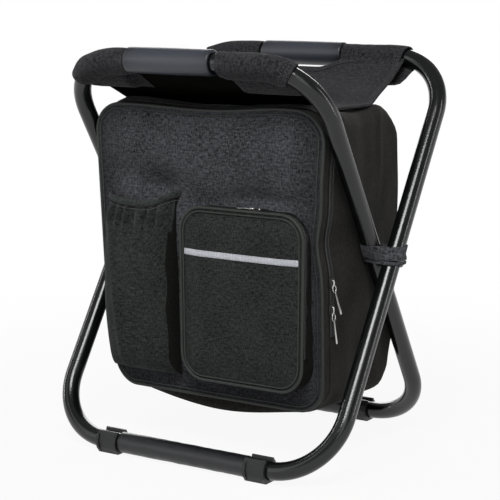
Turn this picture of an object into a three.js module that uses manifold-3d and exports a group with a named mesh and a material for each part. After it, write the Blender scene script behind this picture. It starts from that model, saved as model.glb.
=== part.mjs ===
import * as THREE from 'three';
import { mergeVertices } from 'three/addons/utils/BufferGeometryUtils.js';
import Module from 'manifold-3d';

// Folding stool with an insulated bag hung between two crossed tube frames.
// Millimetres. X runs along the rails, Y from front to back, Z up.
// The origin is on the floor, under the middle of the stool.

// Frames
const tubeDiameter = 18;
const topRailHeight = 400;
const railSpread = 251;
const outerFrameWidth = 345;
const legGap = 1.5;
const bendRadius = 65;
const bendSteps = 8;
const tubeSides = 14;
const fitGap = 0.3;
const looseGap = 0.5;

// Pivots
const rivetDiameter = 6;
const rivetPlay = 0.15;
const rivetHeadDiameter = 13;
const rivetHeadHeight = 2.4;
const rivetHeadShoulder = 0.8;
const rivetCrownShare = 0.55;
const spacerDiameter = 17;
const roundSides = 24;

// Feet and floor sleeves
const footPadThickness = 2.5;
const footLength = 24;
const footWall = 2.2;
const footFlangeLength = 3;
const footFlangeWall = 3.6;
const footPadWidth = 14;
const footLipRise = 3.2;
const footLipThickness = 1.8;
const footMouthDegrees = 62;
const footArcSteps = 10;
const outerFootPastBend = 1.5;
const innerFootPastBend = -1;
const floorSleeveWall = 1.7;

// Grips and seat
const gripDiameter = 26;
const gripLength = 98;
const gripEdge = 1.6;
const frontGripShift = -15.5;
const rearGripShift = -11;
const sleeveWall = 1.7;
const sleeveGripGap = 1;
const frontSleeveBends = { left: 5, right: 3 };
const rearSleeveBends = { left: 3, right: 1 };
const seatLeftInset = 14;
const seatRightInset = 31;
const seatThickness = 1.2;
const seatRestGap = 0.8;
const seatNotchDepth = 15;
const seatNotchWidth = 104;
const seatRows = 18;
const seatColumns = 20;
const seatSearchSteps = 30;

// Bag
const bagSideGap = 6;
const bagBottomHeight = 60;
const bagTopBelowRail = 48;
const bagFront = -82;
const bagBack = 76;
const bagCornerRadius = 28;
const bagWall = 4;
const doorDepth = 13.4;
const backRounding = 36;
const backRoundingSteps = 4;
const cornerSteps = 5;
const smallestRadiusShare = 0.1;
const liningThickness = 1;
const liningDepthGap = 1.2;
const doorLiningThickness = 3;

// Piping, zip tapes and the bright strip
const pipingDiameter = 3.6;
const pipingSeat = 5;
const pipingSides = 6;
const pipingCornerSteps = 6;
const zipTapeThickness = 0.9;
const zipTapeWidth = 8.6;
const zipTapeFootHeight = 92;
const stripHeight = 6.2;
const stripThickness = 0.5;
const stripMiddleHeight = 211;
const stripInset = 6;

// Zipped pocket
const pocketSideInset = 14;
const pocketBottleGap = 8;
const pocketBottom = 79;
const pocketTop = 255;
const pocketCornerRadius = 24;
const pocketDepth = 10.2;
const pocketSpread = 4;
const pocketWall = 2;
const pocketPanelThickness = 3;
const pocketPipingDiameter = 2.8;
const pocketPipingSeat = 3.4;
const pocketZipWidth = 4.6;

// Bottle pocket
const bottleSideInset = 6;
const bottleWidth = 90;
const bottleBottom = 79;
const bottleTop = 256;
const bottleDepth = 16.5;
const bottleWall = 1.8;
const bottleFloor = 3;
const bottleShoulderShare = 0.24;
const bottleArcSteps = 5;
const hemHeight = 8;
const hemBulge = 1.4;

// Bands round the crossed legs
const bandBottomRise = -3;
const bandHeight = 16;
const bandWall = 1.3;
const bandHalfDepth = 19.6;

// Zip sliders and pulls
const sliderPlate = 1.4;
const sliderTunnel = 1.8;
const sliderStrap = 0.7;
const sliderLength = 10;
const sliderWidth = 8;
const sliderStrapWidth = 3;
const sliderStrapFoot = 1.4;
const pullThickness = 1;
const pullWidth = 7;
const pullLength = 22;
const pullBar = 1.2;
const pullWindow = 6;
const pullWindowWidth = 4.2;
const upperSliderHeight = 190.5;
const lowerSliderHeight = 160.5;
const sliderSetBack = 4.5;
const pocketSliderInset = 55;

// Shoulder straps
const strapOffset = 62;
const padWidth = 52;
const padThickness = 6;
const padTopHeight = 318;
const padLowHeight = 152;
const padStandOff = 22;
const padDropShares = [0, 0.2, 0.45, 0.72, 1];
const padStandOffShares = [0, 0.55, 1, 0.9, 0.6];
const padSteps = 10;
const webbingWidth = 25;
const webbingThickness = 1.6;
const webbingEndHeight = 96;
const buckleWidth = 33;
const buckleHeight = 17;
const buckleThickness = 6.6;
const buckleHeightOnStrap = 128;

// Sizes that follow from the ones above
const tubeRadius = tubeDiameter / 2;
const footRailHeight = tubeRadius + looseGap + footPadThickness;
const railRise = topRailHeight - footRailHeight;
const pivotHeight = (topRailHeight + footRailHeight) / 2;
const legHalfLength = Math.hypot(railSpread, railRise) / 2;
const legLean = Math.atan2(railSpread, railRise);
const outerHalfWidth = (outerFrameWidth - tubeDiameter) / 2;
const innerHalfWidth = outerHalfWidth - tubeDiameter - legGap;
const sleeveInnerRadius = tubeRadius + fitGap;
const sleeveOuterRadius = sleeveInnerRadius + sleeveWall;
const outerFootOffset = outerHalfWidth - bendRadius + outerFootPastBend - footLength / 2;
const innerFootOffset = innerHalfWidth - bendRadius + innerFootPastBend - footLength / 2;
const seatLeft = seatLeftInset - innerHalfWidth;
const seatRight = innerHalfWidth - seatRightInset;
const bagHalfWidth = innerHalfWidth - tubeRadius - bagSideGap;
const bagTopHeight = topRailHeight - bagTopBelowRail;
const doorBack = bagFront + doorDepth;
const shellFront = doorBack + fitGap;
const seatLowHeight = bagTopHeight + seatRestGap + seatThickness / 2;
const bottleLeft = bottleSideInset - bagHalfWidth;
const bottleRight = bottleLeft + bottleWidth;
const pocketLeft = bottleRight + pocketBottleGap;
const pocketRight = bagHalfWidth - pocketSideInset;
const pocketFront = bagFront - fitGap - pocketDepth;
const flapFront = pocketFront - fitGap - pocketPanelThickness;

const paint = (color, roughness, metalness = 0) => (
  new THREE.MeshStandardMaterial({ color, roughness, metalness })
);

const materials = {
  tube: paint(0x0c0d0e, 0.18, 0.4),
  grip: paint(0x545a66, 0.5),
  seat: paint(0x353337, 0.85),
  heather: paint(0x303234, 0.9),
  gusset: paint(0x262420, 0.9),
  piping: paint(0x2c2e30, 0.7),
  lining: paint(0xa9acae, 0.4),
  strip: paint(0xc3c5c7, 0.35),
  zip: paint(0x1c1d1e, 0.7),
  slider: paint(0xb4b6b8, 0.3, 0.9),
  rivet: paint(0xa8aaac, 0.3, 0.9),
  plastic: paint(0x161718, 0.5),
  sleeve: paint(0x1a1b1c, 0.55),
  strap: paint(0x232425, 0.85),
};

const wasm = await Module();
wasm.setup();

// Leaves only positions, shares the corners and turns all faces outwards.
const closed = (geometry) => {
  const bare = geometry.clone();
  for (const name of Object.keys(bare.attributes)) {
    if (name !== 'position') bare.deleteAttribute(name);
  }
  bare.clearGroups();
  const merged = mergeVertices(bare);
  const position = merged.getAttribute('position');
  const index = merged.getIndex();
  const corner = [new THREE.Vector3(), new THREE.Vector3(), new THREE.Vector3()];
  let volume = 0;
  for (let i = 0; i < index.count; i += 3) {
    corner.forEach((c, k) => c.fromBufferAttribute(position, index.getX(i + k)));
    volume += corner[0].dot(corner[1].cross(corner[2]));
  }
  if (volume < 0) {
    for (let i = 0; i < index.count; i += 3) {
      const first = index.getX(i);
      index.setX(i, index.getX(i + 1));
      index.setX(i + 1, first);
    }
  }
  return merged;
};

const toSolid = (geometry) => {
  const ready = closed(geometry);
  return new wasm.Manifold(new wasm.Mesh({
    numProp: 3,
    vertProperties: new Float32Array(ready.getAttribute('position').array),
    triVerts: new Uint32Array(ready.getIndex().array),
  }));
};

const fromSolid = (solid) => {
  const result = solid.getMesh();
  const geometry = new THREE.BufferGeometry();
  geometry.setAttribute('position', new THREE.BufferAttribute(result.vertProperties, 3));
  geometry.setIndex(new THREE.BufferAttribute(result.triVerts, 1));
  return geometry;
};

const cut = (geometry, ...tools) => fromSolid(
  tools.reduce((solid, tool) => solid.subtract(toSolid(tool)), toSolid(geometry)),
);

const join = (geometry, ...others) => fromSolid(
  others.reduce((solid, other) => solid.add(toSolid(other)), toSolid(geometry)),
);

// Joins rings of points that all have the same count into one closed skin.
const skin = (rings, isLoop) => {
  const count = rings[0].length;
  const points = rings.flat();
  const faces = [];
  const spans = isLoop ? rings.length : rings.length - 1;
  for (let r = 0; r < spans; r += 1) {
    const here = r * count;
    const next = ((r + 1) % rings.length) * count;
    for (let i = 0; i < count; i += 1) {
      const j = (i + 1) % count;
      faces.push(here + i, here + j, next + j, here + i, next + j, next + i);
    }
  }
  if (!isLoop) {
    for (const [start, flip] of [[0, true], [(rings.length - 1) * count, false]]) {
      const middle = new THREE.Vector3();
      for (let i = 0; i < count; i += 1) middle.addScaledVector(points[start + i], 1 / count);
      points.push(middle);
      for (let i = 0; i < count; i += 1) {
        const j = (i + 1) % count;
        const face = [start + i, start + j, points.length - 1];
        faces.push(...(flip ? face.reverse() : face));
      }
    }
  }
  const geometry = new THREE.BufferGeometry().setFromPoints(points);
  geometry.setIndex(faces);
  return geometry;
};

const cylinderAlongX = (radius, length, sides) => (
  new THREE.CylinderGeometry(radius, radius, length, sides).rotateZ(Math.PI / 2)
);

const block = (from, to) => {
  const size = new THREE.Vector3().subVectors(to, from);
  const middle = new THREE.Vector3().addVectors(to, from).multiplyScalar(0.5);
  return new THREE.BoxGeometry(size.x, size.y, size.z).translate(middle.x, middle.y, middle.z);
};

const boxBetween = (x0, x1, y0, y1, z0, z1) => (
  block(new THREE.Vector3(x0, y0, z0), new THREE.Vector3(x1, y1, z1))
);

// Turns a flat outline drawn in Y and Z into a solid that runs along X.
const extrudeAlongX = (outline, from, to) => {
  const shape = new THREE.Shape(outline.map(([y, z]) => new THREE.Vector2(y, z)));
  const geometry = new THREE.ExtrudeGeometry(shape, { depth: to - from, bevelEnabled: false });
  geometry.applyMatrix4(new THREE.Matrix4().makeBasis(
    new THREE.Vector3(0, 1, 0),
    new THREE.Vector3(0, 0, 1),
    new THREE.Vector3(1, 0, 0),
  ));
  return geometry.translate(from, 0, 0);
};

// Frame loops: side is 1 for the frame that leans back and -1 for the one that leans forward.
const frameBasis = (side) => ({
  along: new THREE.Vector3(1, 0, 0),
  up: new THREE.Vector3(0, side * Math.sin(legLean), Math.cos(legLean)),
  out: new THREE.Vector3(0, -Math.cos(legLean), side * Math.sin(legLean)),
});

const cornerStation = (basis, halfWidth, quarter, step) => {
  const angle = (quarter + step / bendSteps) * Math.PI / 2;
  const outward = basis.along.clone().multiplyScalar(Math.cos(angle))
    .addScaledVector(basis.up, Math.sin(angle));
  const flat = halfWidth - bendRadius;
  const run = legHalfLength - bendRadius;
  const middle = new THREE.Vector3(0, 0, pivotHeight)
    .addScaledVector(basis.along, quarter === 0 || quarter === 3 ? flat : -flat)
    .addScaledVector(basis.up, quarter < 2 ? run : -run)
    .addScaledVector(outward, bendRadius);
  return { middle, outward, across: basis.out };
};

const ringAt = (station, radius, sides) => {
  const ring = [];
  for (let i = 0; i < sides; i += 1) {
    const turn = i / sides * Math.PI * 2;
    ring.push(station.middle.clone()
      .addScaledVector(station.outward, Math.cos(turn) * radius)
      .addScaledVector(station.across, Math.sin(turn) * radius));
  }
  return ring;
};

const frameTube = (side, halfWidth) => {
  const basis = frameBasis(side);
  const rings = [];
  for (let quarter = 0; quarter < 4; quarter += 1) {
    for (let step = 0; step <= bendSteps; step += 1) {
      rings.push(ringAt(cornerStation(basis, halfWidth, quarter, step), tubeRadius, tubeSides));
    }
  }
  const throughBoth = (halfWidth + tubeDiameter) * 2;
  const hole = cylinderAlongX(rivetDiameter / 2 + rivetPlay, throughBoth, roundSides)
    .translate(0, 0, pivotHeight);
  return cut(skin(rings, true), hole);
};

// A fabric sleeve that follows the top rail from a grip into one bend.
const seatSleeve = (side, halfWidth, isRight, innerEnd, bends) => {
  const basis = frameBasis(side);
  const quarter = isRight ? 0 : 1;
  const stations = [];
  for (let i = 0; i <= bends; i += 1) {
    const step = isRight ? bendSteps - i : i;
    stations.push(cornerStation(basis, halfWidth, quarter, step));
  }
  const first = { ...stations[0], middle: stations[0].middle.clone().setX(innerEnd) };
  stations.unshift(first);
  const outer = stations.map((s) => ringAt(s, sleeveOuterRadius, tubeSides));
  const inner = stations.map((s) => ringAt(s, sleeveInnerRadius + looseGap - fitGap, tubeSides));
  return skin([...outer, ...inner.reverse()], true);
};

const hollowBarrel = (innerRadius, outerRadius, length, edge) => {
  const half = length / 2;
  const profile = [
    [innerRadius, -half],
    [outerRadius - edge, -half],
    [outerRadius, edge - half],
    [outerRadius, half - edge],
    [outerRadius - edge, half],
    [innerRadius, half],
    [innerRadius, -half],
  ];
  const points = profile.map(([r, h]) => new THREE.Vector2(r, h));
  return new THREE.LatheGeometry(points, roundSides).rotateZ(-Math.PI / 2);
};

const plainBarrel = (innerRadius, outerRadius, length) => {
  const half = length / 2;
  const profile = [
    [innerRadius, -half],
    [outerRadius, -half],
    [outerRadius, half],
    [innerRadius, half],
    [innerRadius, -half],
  ];
  const points = profile.map(([r, h]) => new THREE.Vector2(r, h));
  return new THREE.LatheGeometry(points, roundSides).rotateZ(-Math.PI / 2);
};

const rimShare = (radius) => radius / Math.cos(Math.PI / roundSides);

const grip = (side, shift) => hollowBarrel(
  rimShare(tubeRadius + fitGap),
  gripDiameter / 2,
  gripLength,
  gripEdge,
).translate(shift, side * railSpread / 2, topRailHeight);

const floorSleeve = (side, footOffset) => plainBarrel(
  rimShare(tubeRadius + fitGap),
  tubeRadius + fitGap + floorSleeveWall,
  (footOffset - footLength / 2 - looseGap) * 2,
).translate(0, side * railSpread / 2, footRailHeight);

// Section of a clip-on foot: a ring open at the top, with two lips and a flat pad.
const footOutline = (wall, hasLips) => {
  const bore = tubeRadius + looseGap;
  const outer = bore + wall;
  const mouth = THREE.MathUtils.degToRad(footMouthDegrees) / 2;
  const start = Math.PI / 2 + mouth;
  const sweep = (Math.PI - mouth) * 2;
  const inside = [];
  const outside = [];
  for (let i = 0; i <= footArcSteps; i += 1) {
    const angle = start + sweep * i / footArcSteps;
    inside.push([Math.cos(angle) * bore, Math.sin(angle) * bore]);
    const z = Math.sin(angle) * outer;
    if (z > -footRailHeight + footPadThickness) outside.push([Math.cos(angle) * outer, z]);
  }
  const half = outside.length / 2;
  const pad = [
    [-footPadWidth / 2, -footRailHeight],
    [footPadWidth / 2, -footRailHeight],
  ];
  const lip = (sign) => {
    const near = sign * (Math.sin(mouth) * bore + footLipThickness / 2);
    const far = near + sign * footLipThickness;
    const top = Math.cos(mouth) * bore + footLipRise;
    return [[near, top], [far, top]];
  };
  const left = outside.slice(0, Math.ceil(half));
  const right = outside.slice(Math.ceil(half));
  const outward = hasLips
    ? [...lip(-1), ...left.slice(1), ...pad, ...right.slice(0, -1), ...lip(1).reverse()]
    : [...left, ...pad, ...right];
  return [...outward, ...inside.reverse()];
};

const foot = (side, offset) => {
  const lift = ([y, z]) => [y + side * railSpread / 2, z + footRailHeight];
  const end = offset + footLength / 2;
  const begin = offset - footLength / 2;
  const body = extrudeAlongX(footOutline(footWall, true).map(lift), begin, end);
  const rim = footOutline(footFlangeWall, false).map(lift);
  return join(
    body,
    extrudeAlongX(rim, begin, begin + footFlangeLength),
    extrudeAlongX(rim, end - footFlangeLength, end),
  );
};

const pivotRivet = (sign) => {
  const shaftRadius = rivetDiameter / 2;
  const headRadius = rivetHeadDiameter / 2;
  const crown = headRadius * rivetCrownShare;
  const from = innerHalfWidth - tubeRadius - fitGap;
  const to = outerHalfWidth + tubeRadius + fitGap;
  const profile = [
    [0, from - rivetHeadHeight],
    [crown, from - rivetHeadHeight],
    [headRadius, from - rivetHeadShoulder],
    [headRadius, from],
    [shaftRadius, from],
    [shaftRadius, to],
    [headRadius, to],
    [headRadius, to + rivetHeadShoulder],
    [crown, to + rivetHeadHeight],
    [0, to + rivetHeadHeight],
  ];
  const points = profile.map(([r, h]) => new THREE.Vector2(r, h));
  return new THREE.LatheGeometry(points, roundSides)
    .rotateZ(-Math.PI / 2 * sign)
    .translate(0, 0, pivotHeight);
};

const pivotSpacer = (sign) => plainBarrel(
  rimShare(rivetDiameter / 2 + rivetPlay),
  spacerDiameter / 2,
  legGap - fitGap * 2,
).translate(sign * (innerHalfWidth + tubeRadius + legGap / 2), 0, pivotHeight);

const seatHeightAt = (depth) => {
  const sag = topRailHeight - seatLowHeight;
  return seatLowHeight + sag * (depth / (railSpread / 2)) ** 2;
};

// How far a point is from the centre line of the frame that leans back.
const distanceToFrame = (halfWidth, point) => {
  const basis = frameBasis(1);
  const away = point.clone().setZ(point.z - pivotHeight);
  const side = Math.abs(away.x) - (halfWidth - bendRadius);
  const rise = away.dot(basis.up) - (legHalfLength - bendRadius);
  const inPlane = side > 0 && rise > 0
    ? Math.hypot(side, rise) - bendRadius
    : Math.max(side, rise) - bendRadius;
  return Math.hypot(inPlane, away.dot(basis.out));
};

const seatEdgeAt = (halfWidth, x) => {
  const reach = sleeveOuterRadius + fitGap + seatThickness / 2;
  let near = 0;
  let far = railSpread / 2;
  for (let i = 0; i < seatSearchSteps; i += 1) {
    const middle = (near + far) / 2;
    const point = new THREE.Vector3(x, middle, seatHeightAt(middle));
    if (distanceToFrame(halfWidth, point) > reach) near = middle;
    else far = middle;
  }
  return near;
};

const notchAt = (x, centre) => {
  const share = Math.min(1, Math.abs(x - centre) / (seatNotchWidth / 2));
  return seatNotchDepth * Math.sqrt(1 - share ** 2);
};

// The cloth seat sags between the rails and is scooped out behind each grip.
const seatSling = () => {
  const top = [];
  const bottom = [];
  for (let c = 0; c <= seatColumns; c += 1) {
    const x = THREE.MathUtils.lerp(seatLeft, seatRight, c / seatColumns);
    const from = notchAt(x, frontGripShift) - seatEdgeAt(innerHalfWidth, x);
    const to = seatEdgeAt(outerHalfWidth, x) - notchAt(x, rearGripShift);
    const upper = [];
    const lower = [];
    for (let r = 0; r <= seatRows; r += 1) {
      const y = THREE.MathUtils.lerp(from, to, r / seatRows);
      const slope = 2 * (topRailHeight - seatLowHeight) * y / (railSpread / 2) ** 2;
      const normal = new THREE.Vector3(0, -slope, 1).normalize();
      const point = new THREE.Vector3(x, y, seatHeightAt(y));
      upper.push(point.clone().addScaledVector(normal, seatThickness / 2));
      lower.push(point.clone().addScaledVector(normal, -seatThickness / 2));
    }
    top.push(upper);
    bottom.push(lower);
  }
  const rings = top.map((upper, c) => [...upper, ...bottom[c].reverse()]);
  return stripSkin(rings);
};

// Joins flat strips side by side; the first and last strip are closed by quads.
const stripSkin = (rings) => {
  const count = rings[0].length;
  const points = rings.flat();
  const faces = [];
  const quad = (a, b, c, d) => faces.push(a, b, c, a, c, d);
  for (let r = 0; r < rings.length - 1; r += 1) {
    for (let i = 0; i < count; i += 1) {
      const j = (i + 1) % count;
      quad(r * count + i, r * count + j, (r + 1) * count + j, (r + 1) * count + i);
    }
  }
  const last = (rings.length - 1) * count;
  for (let i = 0; i < count / 2 - 1; i += 1) {
    const mirror = count - 1 - i;
    quad(i, mirror, mirror - 1, i + 1);
    quad(last + i, last + i + 1, last + mirror - 1, last + mirror);
  }
  const geometry = new THREE.BufferGeometry().setFromPoints(points);
  geometry.setIndex(faces);
  return geometry;
};

// A rectangle with round corners, as a ring of points at one depth.
const roundedRing = (place, depth, inset, steps) => {
  const halfWidth = (place.right - place.left) / 2 - inset;
  const halfHeight = (place.top - place.bottom) / 2 - inset;
  const radius = Math.max(place.radius - inset, place.radius * smallestRadiusShare);
  const centreX = (place.right + place.left) / 2;
  const centreZ = (place.top + place.bottom) / 2;
  const ring = [];
  const signs = [[1, 1], [-1, 1], [-1, -1], [1, -1]];
  signs.forEach(([sx, sz], quarter) => {
    for (let i = 0; i <= steps; i += 1) {
      const angle = (quarter + i / steps) * Math.PI / 2;
      ring.push(new THREE.Vector3(
        centreX + sx * (halfWidth - radius) + Math.cos(angle) * radius,
        depth,
        centreZ + sz * (halfHeight - radius) + Math.sin(angle) * radius,
      ));
    }
  });
  return ring;
};

const bagPlace = {
  left: -bagHalfWidth,
  right: bagHalfWidth,
  bottom: bagBottomHeight,
  top: bagTopHeight,
  radius: bagCornerRadius,
};

const pocketPlace = {
  left: pocketLeft,
  right: pocketRight,
  bottom: pocketBottom,
  top: pocketTop,
  radius: pocketCornerRadius,
};

// Rings of a tray whose back edge is rounded; extra moves the whole skin inwards.
const trayRings = (front, extra) => {
  const rings = [roundedRing(bagPlace, front, extra, cornerSteps)];
  for (let i = 0; i <= backRoundingSteps; i += 1) {
    const angle = i / backRoundingSteps * Math.PI / 2;
    const reach = backRounding - extra;
    const depth = bagBack - extra - reach * (1 - Math.sin(angle));
    rings.push(roundedRing(bagPlace, depth, extra + reach * (1 - Math.cos(angle)), cornerSteps));
  }
  return rings;
};

const bagShell = () => {
  const outside = trayRings(shellFront, 0);
  const inside = trayRings(shellFront, bagWall);
  return skin([...inside.reverse(), ...outside], false);
};

const bagLining = () => {
  const front = shellFront + liningDepthGap;
  const outside = trayRings(front, bagWall + fitGap);
  const inside = trayRings(front, bagWall + fitGap + liningThickness);
  return skin([...inside.reverse(), ...outside], false);
};

const doorPanel = () => {
  const plate = bagFront + bagWall;
  return skin([
    roundedRing(bagPlace, plate, bagWall, cornerSteps),
    roundedRing(bagPlace, doorBack, bagWall, cornerSteps),
    roundedRing(bagPlace, doorBack, 0, cornerSteps),
    roundedRing(bagPlace, bagFront + pipingSeat, 0, cornerSteps),
    roundedRing(bagPlace, bagFront, pipingSeat, cornerSteps),
  ], false);
};

const doorLining = () => {
  const front = bagFront + bagWall + fitGap;
  const inset = bagWall + fitGap;
  return skin([
    roundedRing(bagPlace, front, inset, cornerSteps),
    roundedRing(bagPlace, front + doorLiningThickness, inset, cornerSteps),
  ], false);
};

// A cord of piping that lies in the slanted seat round a panel's front edge.
const pipingLoop = (place, front, seat, diameter) => {
  const push = (diameter / 2 + fitGap) * Math.SQRT1_2;
  const inset = seat / 2 - push;
  const depth = front + seat / 2 - push;
  const path = roundedRing(place, depth, inset, pipingCornerSteps);
  const rings = path.map((point, i) => {
    const before = path[(i + path.length - 1) % path.length];
    const after = path[(i + 1) % path.length];
    const tangent = new THREE.Vector3().subVectors(after, before).normalize();
    const across = new THREE.Vector3(0, 1, 0);
    const outward = new THREE.Vector3().crossVectors(across, tangent);
    return ringAt({ middle: point, outward, across }, diameter / 2, pipingSides);
  });
  return skin(rings, true);
};

// A band of zip tape laid round the sides and top of a rounded box.
const zipBand = (place, footHeight, front, width) => {
  const outer = roundedRing(place, 0, -fitGap - zipTapeThickness, cornerSteps);
  const inner = roundedRing(place, 0, -fitGap, cornerSteps);
  const half = outer.length / 2;
  const arch = (ring) => {
    const kept = ring.slice(0, half);
    const right = kept[0].clone().setZ(footHeight);
    const left = kept[half - 1].clone().setZ(footHeight);
    return [right, ...kept, left];
  };
  const outline = [...arch(outer), ...arch(inner).reverse()];
  const shape = new THREE.Shape(outline.map((p) => new THREE.Vector2(p.x, p.z)));
  return new THREE.ExtrudeGeometry(shape, { depth: width, bevelEnabled: false })
    .rotateX(Math.PI / 2)
    .translate(0, front + width, 0);
};

// The side wall of the pocket runs straight back under its zip and flares at the seam.
const pocketGusset = () => {
  const back = bagFront - fitGap;
  const flare = pocketFront + sliderWidth + fitGap * 2;
  return skin([
    roundedRing(pocketPlace, back, -pocketSpread, cornerSteps),
    roundedRing(pocketPlace, flare, 0, cornerSteps),
    roundedRing(pocketPlace, pocketFront, 0, cornerSteps),
    roundedRing(pocketPlace, pocketFront, pocketWall, cornerSteps),
    roundedRing(pocketPlace, flare, pocketWall, cornerSteps),
    roundedRing(pocketPlace, back, pocketWall - pocketSpread, cornerSteps),
  ], true);
};

const pocketZip = () => (
  zipBand(pocketPlace, pocketBottom + pocketCornerRadius, pocketFront, pocketZipWidth)
);

const pocketPanel = () => {
  const back = pocketFront - fitGap;
  return skin([
    roundedRing(pocketPlace, back, 0, cornerSteps),
    roundedRing(pocketPlace, flapFront + pocketPipingSeat / 2, 0, cornerSteps),
    roundedRing(pocketPlace, flapFront, pocketPipingSeat / 2, cornerSteps),
  ], false);
};

const brightStrip = () => boxBetween(
  pocketLeft + stripInset,
  pocketRight - stripInset,
  flapFront - fitGap - stripThickness,
  flapFront - fitGap,
  stripMiddleHeight - stripHeight / 2,
  stripMiddleHeight + stripHeight / 2,
);

// Outline of the bottle pocket seen from above, grown outwards by a margin.
const bottleOutline = (margin, back) => {
  const left = bottleLeft - margin;
  const right = bottleRight + margin;
  const front = bagFront - fitGap - bottleDepth - margin;
  const shoulder = (right - left) * bottleShoulderShare;
  const points = [[left, back]];
  for (let i = 0; i <= bottleArcSteps; i += 1) {
    const angle = i / bottleArcSteps * Math.PI / 2;
    points.push([
      left + shoulder * (1 - Math.cos(angle)),
      back + (front - back) * Math.sin(angle),
    ]);
  }
  for (let i = bottleArcSteps; i >= 0; i -= 1) {
    const angle = i / bottleArcSteps * Math.PI / 2;
    points.push([
      right - shoulder * (1 - Math.cos(angle)),
      back + (front - back) * Math.sin(angle),
    ]);
  }
  return points.slice(1);
};

const bottleBlock = (margin, back, from, to) => {
  const shape = new THREE.Shape(bottleOutline(margin, back).map(([x, y]) => new THREE.Vector2(x, y)));
  return new THREE.ExtrudeGeometry(shape, { depth: to - from, bevelEnabled: false })
    .translate(0, 0, from);
};

const bottlePocket = () => {
  const back = bagFront - fitGap;
  return cut(
    bottleBlock(0, back, bottleBottom, bottleTop),
    bottleBlock(-bottleWall, back + bottleWall, bottleBottom + bottleFloor, bottleTop + bottleFloor),
  );
};

const bottleHem = () => {
  const back = bagFront - fitGap;
  const from = bottleTop + fitGap;
  return cut(
    bottleBlock(hemBulge, back, from, from + hemHeight),
    bottleBlock(-bottleWall, back + bottleWall, from - bottleFloor, from + hemHeight + bottleFloor),
  );
};

// A closed loop of cloth round both legs where they cross, against the bag's side.
const legBand = (sign) => {
  const from = bagHalfWidth + fitGap;
  const to = outerHalfWidth + tubeRadius + rivetHeadHeight + fitGap * 2 + bandWall;
  const low = pivotHeight + bandBottomRise;
  const high = low + bandHeight;
  const wide = boxBetween(from, to, -bandHalfDepth - bandWall, bandHalfDepth + bandWall, low, high);
  const room = boxBetween(
    from + bandWall,
    to - bandWall,
    -bandHalfDepth,
    bandHalfDepth,
    low - bandHeight,
    high + bandHeight,
  );
  const band = cut(wide, room);
  return sign > 0 ? band : band.rotateZ(Math.PI);
};

// A slider standing on its zip at the origin, facing +X, with the zip along Z.
const sliderBody = () => {
  const half = sliderLength / 2;
  const plate = boxBetween(0, sliderPlate, -sliderWidth / 2, sliderWidth / 2, -half, half);
  const archTop = sliderPlate + sliderTunnel + sliderStrap;
  const arch = boxBetween(0, archTop, -sliderStrapWidth / 2, sliderStrapWidth / 2, -half, half);
  const tunnel = boxBetween(
    sliderPlate,
    sliderPlate + sliderTunnel,
    -sliderStrapWidth,
    sliderStrapWidth,
    sliderStrapFoot - half,
    half - sliderStrapFoot,
  );
  return cut(join(plate, arch), tunnel);
};

const pullBarDrop = () => sliderStrapFoot + pullBar / 2 + fitGap;

// The pull hangs by its top bar inside the slider's arch.
const sliderPull = () => {
  const low = sliderPlate + (sliderTunnel - pullThickness) / 2;
  const high = low + pullThickness;
  const top = pullBar / 2 - sliderLength / 2 + pullBarDrop();
  const tab = boxBetween(low, high, -pullWidth / 2, pullWidth / 2, top - pullLength, top);
  const window = boxBetween(
    0,
    high + pullThickness,
    -pullWindowWidth / 2,
    pullWindowWidth / 2,
    top - pullBar - pullWindow,
    top - pullBar,
  );
  return cut(tab, window);
};

const onMainZip = (geometry, height) => geometry.translate(
  bagHalfWidth + fitGap + zipTapeThickness + fitGap,
  shellFront + sliderSetBack,
  height,
);

// The pocket's slider stands on top of the pocket with its pull lying to the left.
const onPocketZip = (geometry) => geometry
  .rotateY(-Math.PI / 2)
  .rotateZ(Math.PI)
  .translate(
    pocketRight - pocketSliderInset,
    pocketFront + sliderWidth / 2 + fitGap,
    pocketTop + fitGap * 2 + zipTapeThickness,
  );

// Offsets a side-on line by half its thickness both ways, in Y and Z.
const bandOutline = (line, thickness) => {
  const near = [];
  const far = [];
  line.forEach((point, i) => {
    const before = line[Math.max(0, i - 1)];
    const after = line[Math.min(line.length - 1, i + 1)];
    const tangent = new THREE.Vector2().subVectors(after, before).normalize();
    const normal = new THREE.Vector2(tangent.y, -tangent.x).multiplyScalar(thickness / 2);
    near.push([point.x + normal.x, point.y + normal.y]);
    far.push([point.x - normal.x, point.y - normal.y]);
  });
  return [...near, ...far.reverse()];
};

const padLine = () => {
  const onBack = bagBack + fitGap + padThickness / 2;
  const rise = padTopHeight - padLowHeight;
  const points = padDropShares.map((share, i) => new THREE.Vector2(
    onBack + padStandOff * padStandOffShares[i],
    padTopHeight - rise * share,
  ));
  return new THREE.SplineCurve(points).getPoints(padSteps);
};

const shoulderPad = (sign) => extrudeAlongX(
  bandOutline(padLine(), padThickness),
  sign * strapOffset - padWidth / 2,
  sign * strapOffset + padWidth / 2,
);

const webbingLine = () => {
  const onBack = bagBack + fitGap + webbingThickness / 2;
  const padEnd = padLine().at(-1);
  return [
    new THREE.Vector2(padEnd.x, padEnd.y - fitGap * 3),
    new THREE.Vector2(padEnd.x, buckleHeightOnStrap - buckleHeight / 2 - fitGap),
    new THREE.Vector2(onBack, webbingEndHeight),
  ];
};

const strapWebbing = (sign) => extrudeAlongX(
  bandOutline(webbingLine(), webbingThickness),
  sign * strapOffset - webbingWidth / 2,
  sign * strapOffset + webbingWidth / 2,
);

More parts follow.
